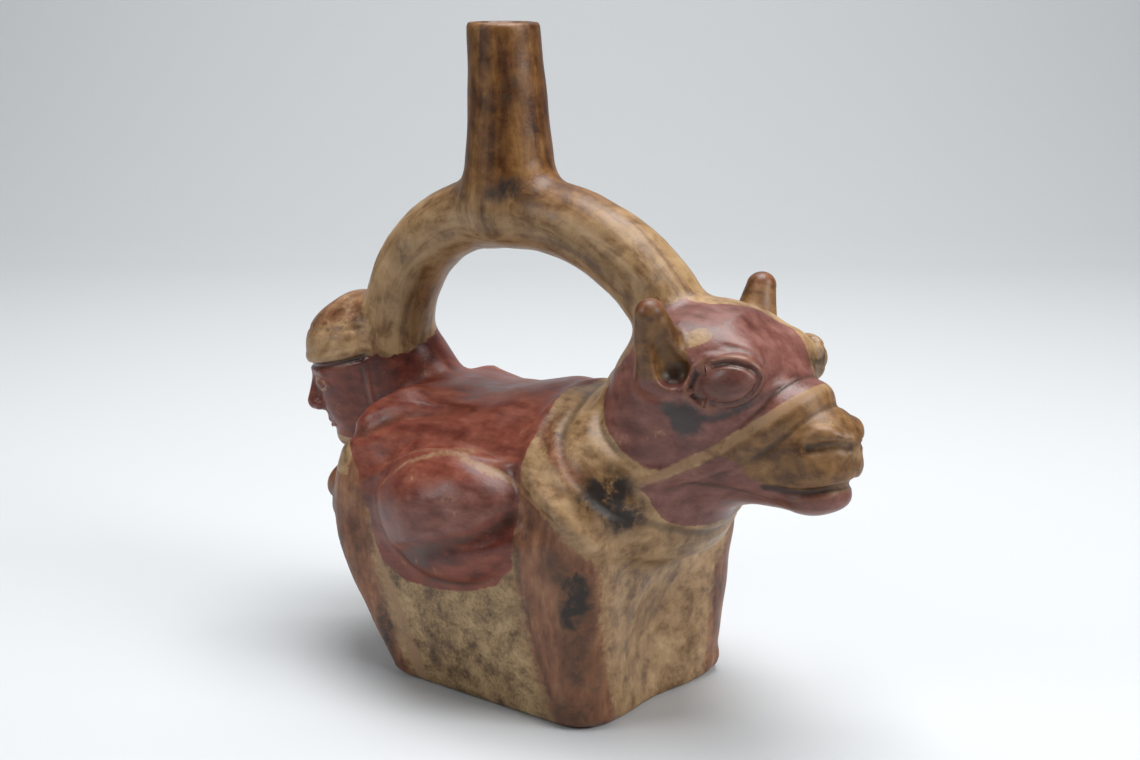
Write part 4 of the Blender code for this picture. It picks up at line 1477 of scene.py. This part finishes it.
@dataclass(frozen=True)
class FiredClay:
    """Burnished slips on fired clay, clouded by the fire and worn by use, with painted shade in its creases
    and hollows and a painted highlight on the thigh.
    """

    cream: tuple = ((0.0, (0.085, 0.038, 0.013)), (0.28, (0.190, 0.100, 0.040)), (0.58, (0.35, 0.210, 0.098)),
                    (1.0, (0.52, 0.345, 0.185)))
    panel: tuple = ((0.0, (0.060, 0.030, 0.011)), (0.30, (0.160, 0.092, 0.037)),
                    (0.60, (0.310, 0.195, 0.090)), (1.0, (0.47, 0.325, 0.165)))
    tube: tuple = ((0.0, (0.090, 0.038, 0.011)), (0.30, (0.190, 0.100, 0.038)), (0.58, (0.34, 0.205, 0.092)),
                   (1.0, (0.46, 0.305, 0.165)))
    gold: tuple = ((0.0, (0.022, 0.006, 0.001)), (0.30, (0.078, 0.025, 0.003)), (0.60, (0.158, 0.062, 0.011)),
                   (1.0, (0.29, 0.140, 0.038)))
    red: tuple = ((0.0, (0.060, 0.012, 0.007)), (0.32, (0.135, 0.027, 0.015)), (0.62, (0.215, 0.052, 0.028)),
                  (1.0, (0.310, 0.100, 0.058)))
    mauve: tuple = ((0.0, (0.055, 0.017, 0.012)), (0.32, (0.115, 0.038, 0.028)),
                    (0.62, (0.185, 0.067, 0.050)), (1.0, (0.270, 0.115, 0.088)))
    wash: tuple = ((0.0, (0.040, 0.011, 0.004)), (0.32, (0.130, 0.042, 0.016)), (0.62, (0.235, 0.090, 0.040)),
                   (1.0, (0.35, 0.175, 0.090)))
    pale: tuple = (0.33, 0.19, 0.100)
    fire_soot_and_shade: tuple = (0.012, 0.008, 0.006)
    singe_and_shade: tuple = (0.060, 0.027, 0.011)
    grey: tuple = (0.036, 0.036, 0.037)
    # Colour of the dark painted eyes and lines, and of the painted shade in grooves and creases
    line: tuple = (0.020, 0.007, 0.004)
    # Colour of real dirt and specks, and of the painted shade in creases and recesses
    dirt_and_shade: tuple = (0.045, 0.024, 0.012)
    worn: tuple = (0.33, 0.185, 0.105)
    plain: tuple = (0.20, 0.085, 0.045)
    specular: float = 0.44
    red_gloss: float = 0.06
    panel_dullness: float = 0.06
    pores_in_a_metre: float = 420
    grain_strength: float = 0.55
    grain_depth: float = 0.0004

    def make(self) -> bpy.types.Material:
        """The material for the whole bottle.

        Returns:
            The material.
        """
        bench = Bench("fired_clay")
        ragged = bench.times(bench.math("SUBTRACT", bench.noise(420, 5, 0.62), 0.5), 3.0)
        slow = bench.noise(46, 4, 0.6, distortion=0.4)
        mottle = bench.noise(150, 7, 0.66, distortion=0.3)
        speck = bench.noise(900, 4, 0.6)
        strokes = bench.noise(190, 5, 0.6, space=bench.attribute("stroke_space", "Vector"), distortion=0.6)
        brush = self.stretched(bench, (0.30, 1.0, 1.0), 230)
        wiped = self.stretched(bench, (1.0, 1.0, 0.35), 260)

        def cover(slip: Slip, edge: float = 0.45, shift: float = 0.0) -> Socket:
            """Where a slip lies, with a ragged edge."""
            value = bench.plus(bench.attribute(slip.value), bench.times(ragged, edge * 1.6))
            return bench.fit(value, -edge + shift, edge + shift)

        def tone(value: Socket, spread: float = 0.15) -> Socket:
            """Noise near 0.5 spread over the whole row of shades."""
            return bench.fit(value, 0.5 - spread, 0.5 + spread, smooth=False)

        cream_tone = tone(bench.average(bench.average(slow, mottle, 0.6), brush, 0.30))
        colour = bench.shades(cream_tone, self.cream)
        panel_tone = tone(bench.average(bench.average(slow, mottle, 0.7), speck, 0.22), 0.12)
        colour = bench.mix(bench.attribute(Slip.PANEL.value), colour, bench.shades(panel_tone, self.panel))
        tube_tone = tone(bench.average(bench.average(strokes, slow, 0.35), mottle, 0.38), 0.14)
        tube = cover(Slip.TUBE, 0.6)
        colour = bench.mix(tube, colour, bench.shades(tube_tone, self.tube))
        gold_tone = bench.mix(tube, cream_tone, tube_tone)
        colour = bench.mix(bench.attribute(Slip.GOLD.value), colour, bench.shades(gold_tone, self.gold))
        wash_tone = tone(bench.average(bench.average(slow, mottle, 0.45), wiped, 0.45))
        wash = bench.times(cover(Slip.WASH, 1.7), 0.94)
        colour = bench.mix(wash, colour, bench.shades(wash_tone, self.wash))
        # Shifts the red lighter and pinker or darker: partly the slip's own tone, partly painted light and
        # shade on the thigh
        tone_shift_and_shading = bench.attribute(Slip.TONE.value)
        red_tone = tone(bench.plus(bench.average(bench.average(slow, mottle, 0.55), brush, 0.45),
                                   bench.times(tone_shift_and_shading, 0.10)), 0.17)
        slip = bench.mix(bench.fit(tone_shift_and_shading, 0.0, 0.2), bench.shades(red_tone, self.red),
                         bench.shades(red_tone, self.mauve))
        red = cover(Slip.RED, 0.35)
        rubbed = bench.fit(bench.plus(mottle, bench.times(speck, 0.35)), 0.80, 0.93)
        red = bench.times(red, bench.math("SUBTRACT", 1.0, bench.times(rubbed, 0.5)))
        colour = bench.mix(red, colour, slip)
        pale = bench.times(cover(Slip.PALE, 0.5), bench.fit(mottle, 0.36, 0.56, 0.35, 0.92))
        colour = bench.mix(pale, colour, self.pale)
        colour = self.marked(bench, colour, ragged, mottle, speck, wiped)
        bench.feed(bench.shader.inputs["Base Color"], colour)
        self.finish(bench, red, mottle, speck, brush)
        return bench.material

    def stretched(self, bench: Bench, by: tuple, scale: float) -> Socket:
        """Noise drawn out like the strokes of a burnishing stone.

        Args:
            bench: The material's nodes.
            by: How much each axis is squeezed.
            scale: Strokes in a metre.

        Returns:
            The noise's value.
        """
        mapping = bench.tree.nodes.new("ShaderNodeMapping")
        mapping.vector_type = "POINT"
        mapping.inputs["Scale"].default_value = by
        mapping.inputs["Rotation"].default_value = (0.25, 0.2, 0.35)
        bench.feed(mapping.inputs["Vector"], bench.place)
        return bench.noise(scale, 4, 0.6, space=mapping.outputs["Vector"])

    def marked(self, bench: Bench, colour: Socket, ragged: Socket, mottle: Socket, speck: Socket,
               wiped: Socket) -> Socket:
        """Lays the marks of fire, brush and wear, the dark painted lines and the painted shade in creases and
        hollows over a colour.

        Args:
            bench: The material's nodes.
            colour: The colour under them.
            ragged: Noise for their edges.
            mottle: Noise for their clouds.
            speck: Noise for their specks.
            wiped: Noise drawn out upright.

        Returns:
            The marked colour.
        """
        fine, broad = bench.attribute("fine_relief"), bench.attribute("broad_relief")
        edge = bench.plus(fine, bench.times(bench.math("SUBTRACT", mottle, 0.5), 0.5))
        worn = bench.times(bench.fit(edge, 0.30, 0.75), 0.26)
        colour = bench.mix(worn, colour, self.worn)
        # Darker in creases and recesses by their depth: partly real dirt, partly painted shade
        dirt_and_painted_shade = bench.times(bench.fit(bench.plus(fine, broad), -0.30, -1.5), 0.62)
        colour = bench.mix(dirt_and_painted_shade, colour, self.dirt_and_shade)
        grey = bench.plus(bench.attribute(Slip.GREY.value), bench.times(ragged, 0.28))
        colour = bench.mix(bench.times(bench.fit(grey, 0.20, 1.0), 0.86), colour, self.grey)
        patchy = bench.fit(bench.average(mottle, wiped, 0.3), 0.36, 0.64, -0.3, 2.1, smooth=False)
        # Fire clouds, and the painted shade inside the ears' hollows
        fire_soot_and_shade = bench.times(bench.attribute(Slip.SOOT_AND_SHADE.value), patchy)
        colour = bench.mix(bench.times(bench.fit(fire_soot_and_shade, 0.0, 0.7), 0.72), colour, self.singe_and_shade)
        colour = bench.mix(bench.times(bench.fit(fire_soot_and_shade, 0.35, 1.35), 0.93), colour, self.fire_soot_and_shade)
        # Dark painted eyes and irises, and painted shade in grooves, creases, below the thigh's crease and
        # under the headband
        painted_lines_and_shade = bench.plus(bench.attribute(Slip.DARK.value), bench.times(ragged, 0.12))
        colour = bench.mix(bench.times(bench.fit(painted_lines_and_shade, 0.22, 0.9), 0.85), colour, self.line)
        specks = bench.times(bench.fit(speck, 0.655, 0.74), 0.45)
        colour = bench.mix(specks, colour, self.dirt_and_shade)
        return bench.mix(bench.attribute("inside"), colour, self.plain)

    def finish(self, bench: Bench, red: Socket, mottle: Socket, speck: Socket, brush: Socket) -> None:
        """Sets the burnish and the fine grain of the surface.

        Args:
            bench: The material's nodes.
            red: Where the red slip lies.
            mottle: Noise for the gloss.
            speck: Noise for the grain.
            brush: Noise for the burnishing strokes.
        """
        gloss = bench.fit(bench.plus(mottle, bench.times(brush, 0.6)), 0.55, 1.05, 0.34, 0.52)
        gloss = bench.math("SUBTRACT", gloss, bench.times(red, self.red_gloss))
        dull = bench.times(bench.attribute(Slip.PANEL.value), self.panel_dullness)
        bench.feed(bench.shader.inputs["Roughness"], bench.math("ADD", gloss, dull, clamp=True))
        bench.shader.inputs["Specular IOR Level"].default_value = self.specular
        pits = bench.tree.nodes.new("ShaderNodeTexVoronoi")
        pits.inputs["Scale"].default_value = self.pores_in_a_metre
        bench.feed(pits.inputs["Vector"], bench.place)
        pores = bench.fit(pits.outputs["Distance"], 0.0, 0.16, -1.0, 0.0)
        rare = bench.fit(speck, 0.50, 0.62)
        height = bench.plus(bench.times(brush, 0.55), bench.times(mottle, 0.5))
        height = bench.plus(height, bench.times(speck, 0.22))
        height = bench.plus(height, bench.times(bench.times(pores, rare), 0.5))
        bump = bench.tree.nodes.new("ShaderNodeBump")
        bump.inputs["Strength"].default_value = self.grain_strength
        bump.inputs["Distance"].default_value = self.grain_depth
        bench.feed(bump.inputs["Height"], height)
        bench.feed(bench.shader.inputs["Normal"], bump.outputs["Normal"])


@dataclass(frozen=True)
class Studio:
    """A plain pale sweep, soft light from above, and the camera."""

    camera_at: tuple = (0.40635, -0.48987, 0.2548)
    camera_down: float = 13.05
    camera_turn: float = 39.2
    lens: float = 58.9
    paper: tuple = (0.63, 0.650, 0.665)
    reach: float = 3.0
    flat: float = 0.9
    rise: float = 0.8
    steps: int = 12
    middle: tuple = (0.0, 0.0, 0.10)
    air: tuple = (0.80, 0.87, 0.93)
    air_strength: float = 0.14

    def build(self) -> None:
        """Makes the sweep, the lights and the camera."""
        self.sweep()
        self.light("overhead", (0.05, 0.05, 1.00), self.middle, 0.6, 8.8)
        self.light("right_key", (1.0, 0.15, 0.70), self.middle, 0.5, 7.2)
        self.light("left_fill", (-0.45, -0.85, 0.62), self.middle, 0.4, 2.7)
        self.light("backdrop", (-0.35, 0.42, 1.25), (-0.95, 1.15, 0.10), 0.9, 10.0)
        world = bpy.data.worlds.new("studio_air")
        world.use_nodes = True
        air = world.node_tree.nodes["Background"]
        air.inputs["Color"].default_value = (*self.air, 1.0)
        air.inputs["Strength"].default_value = self.air_strength
        bpy.context.scene.world = world
        view = bpy.data.cameras.new("camera")
        view.lens, view.sensor_width = self.lens, 36.0
        view.clip_start, view.clip_end = 0.01, 50.0
        camera = bpy.data.objects.new("camera", view)
        camera.location = self.camera_at
        camera.rotation_euler = (math.radians(90 - self.camera_down), 0.0, math.radians(self.camera_turn))
        bpy.context.scene.collection.objects.link(camera)
        bpy.context.scene.camera = camera
        bpy.context.scene.view_settings.view_transform = "Standard"

    def sweep(self) -> None:
        """Makes the floor that rises behind the bottle in one curve."""
        paper = bmesh.new()
        rows = []
        profile = [(-self.reach, 0.0), (self.flat, 0.0)]
        for i in range(self.steps + 1):
            angle = math.pi / 2 * i / self.steps
            profile.append((self.flat + self.rise * math.sin(angle), self.rise - self.rise * math.cos(angle)))
        profile.append((self.flat + self.rise, self.reach))
        turn = Matrix.Rotation(math.radians(self.camera_turn), 3, "Z")
        for across in (-self.reach, self.reach):
            rows.append([paper.verts.new(turn @ Vector((across, away, high))) for away, high in profile])
        for (a, b), (c, d) in zip(zip(rows[0], rows[0][1:]), zip(rows[1], rows[1][1:])):
            paper.faces.new((a, c, d, b)).smooth = True
        mesh = bpy.data.meshes.new("pale_sweep")
        paper.to_mesh(mesh)
        paper.free()
        material = bpy.data.materials.new("pale_paper")
        material.use_nodes = True
        shader = material.node_tree.nodes["Principled BSDF"]
        shader.inputs["Base Color"].default_value = (*self.paper, 1.0)
        shader.inputs["Roughness"].default_value = 0.7
        mesh.materials.append(material)
        floor = bpy.data.objects.new("pale_sweep", mesh)
        bpy.context.scene.collection.objects.link(floor)

    def light(self, name: str, place: tuple, target: tuple, size: float, energy: float) -> None:
        """Hangs one soft light.

        Args:
            name: Its name.
            place: Where it hangs.
            target: Where it points.
            size: Its width.
            energy: Its power in watts.
        """
        lamp = bpy.data.lights.new(name, "AREA")
        lamp.energy, lamp.size = energy, size
        hung = bpy.data.objects.new(name, lamp)
        hung.location = place
        hung.rotation_euler = (Vector(target) - Vector(place)).to_track_quat("-Z", "Y").to_euler()
        bpy.context.scene.collection.objects.link(hung)


def main() -> None:
    """Builds the studio and the bottle."""
    logging.basicConfig(level=logging.INFO, format="%(name)s: %(message)s")
    Studio().build()
    log.info("studio: sweep, lights and camera")
    piece = Bottle().build()
    piece.data.materials.clear()
    piece.data.materials.append(FiredClay().make())
    log.info("%s: %d faces", piece.name, len(piece.data.polygons))
    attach(piece, "root")
    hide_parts(NODE)


if __name__ == "__main__":
    main()
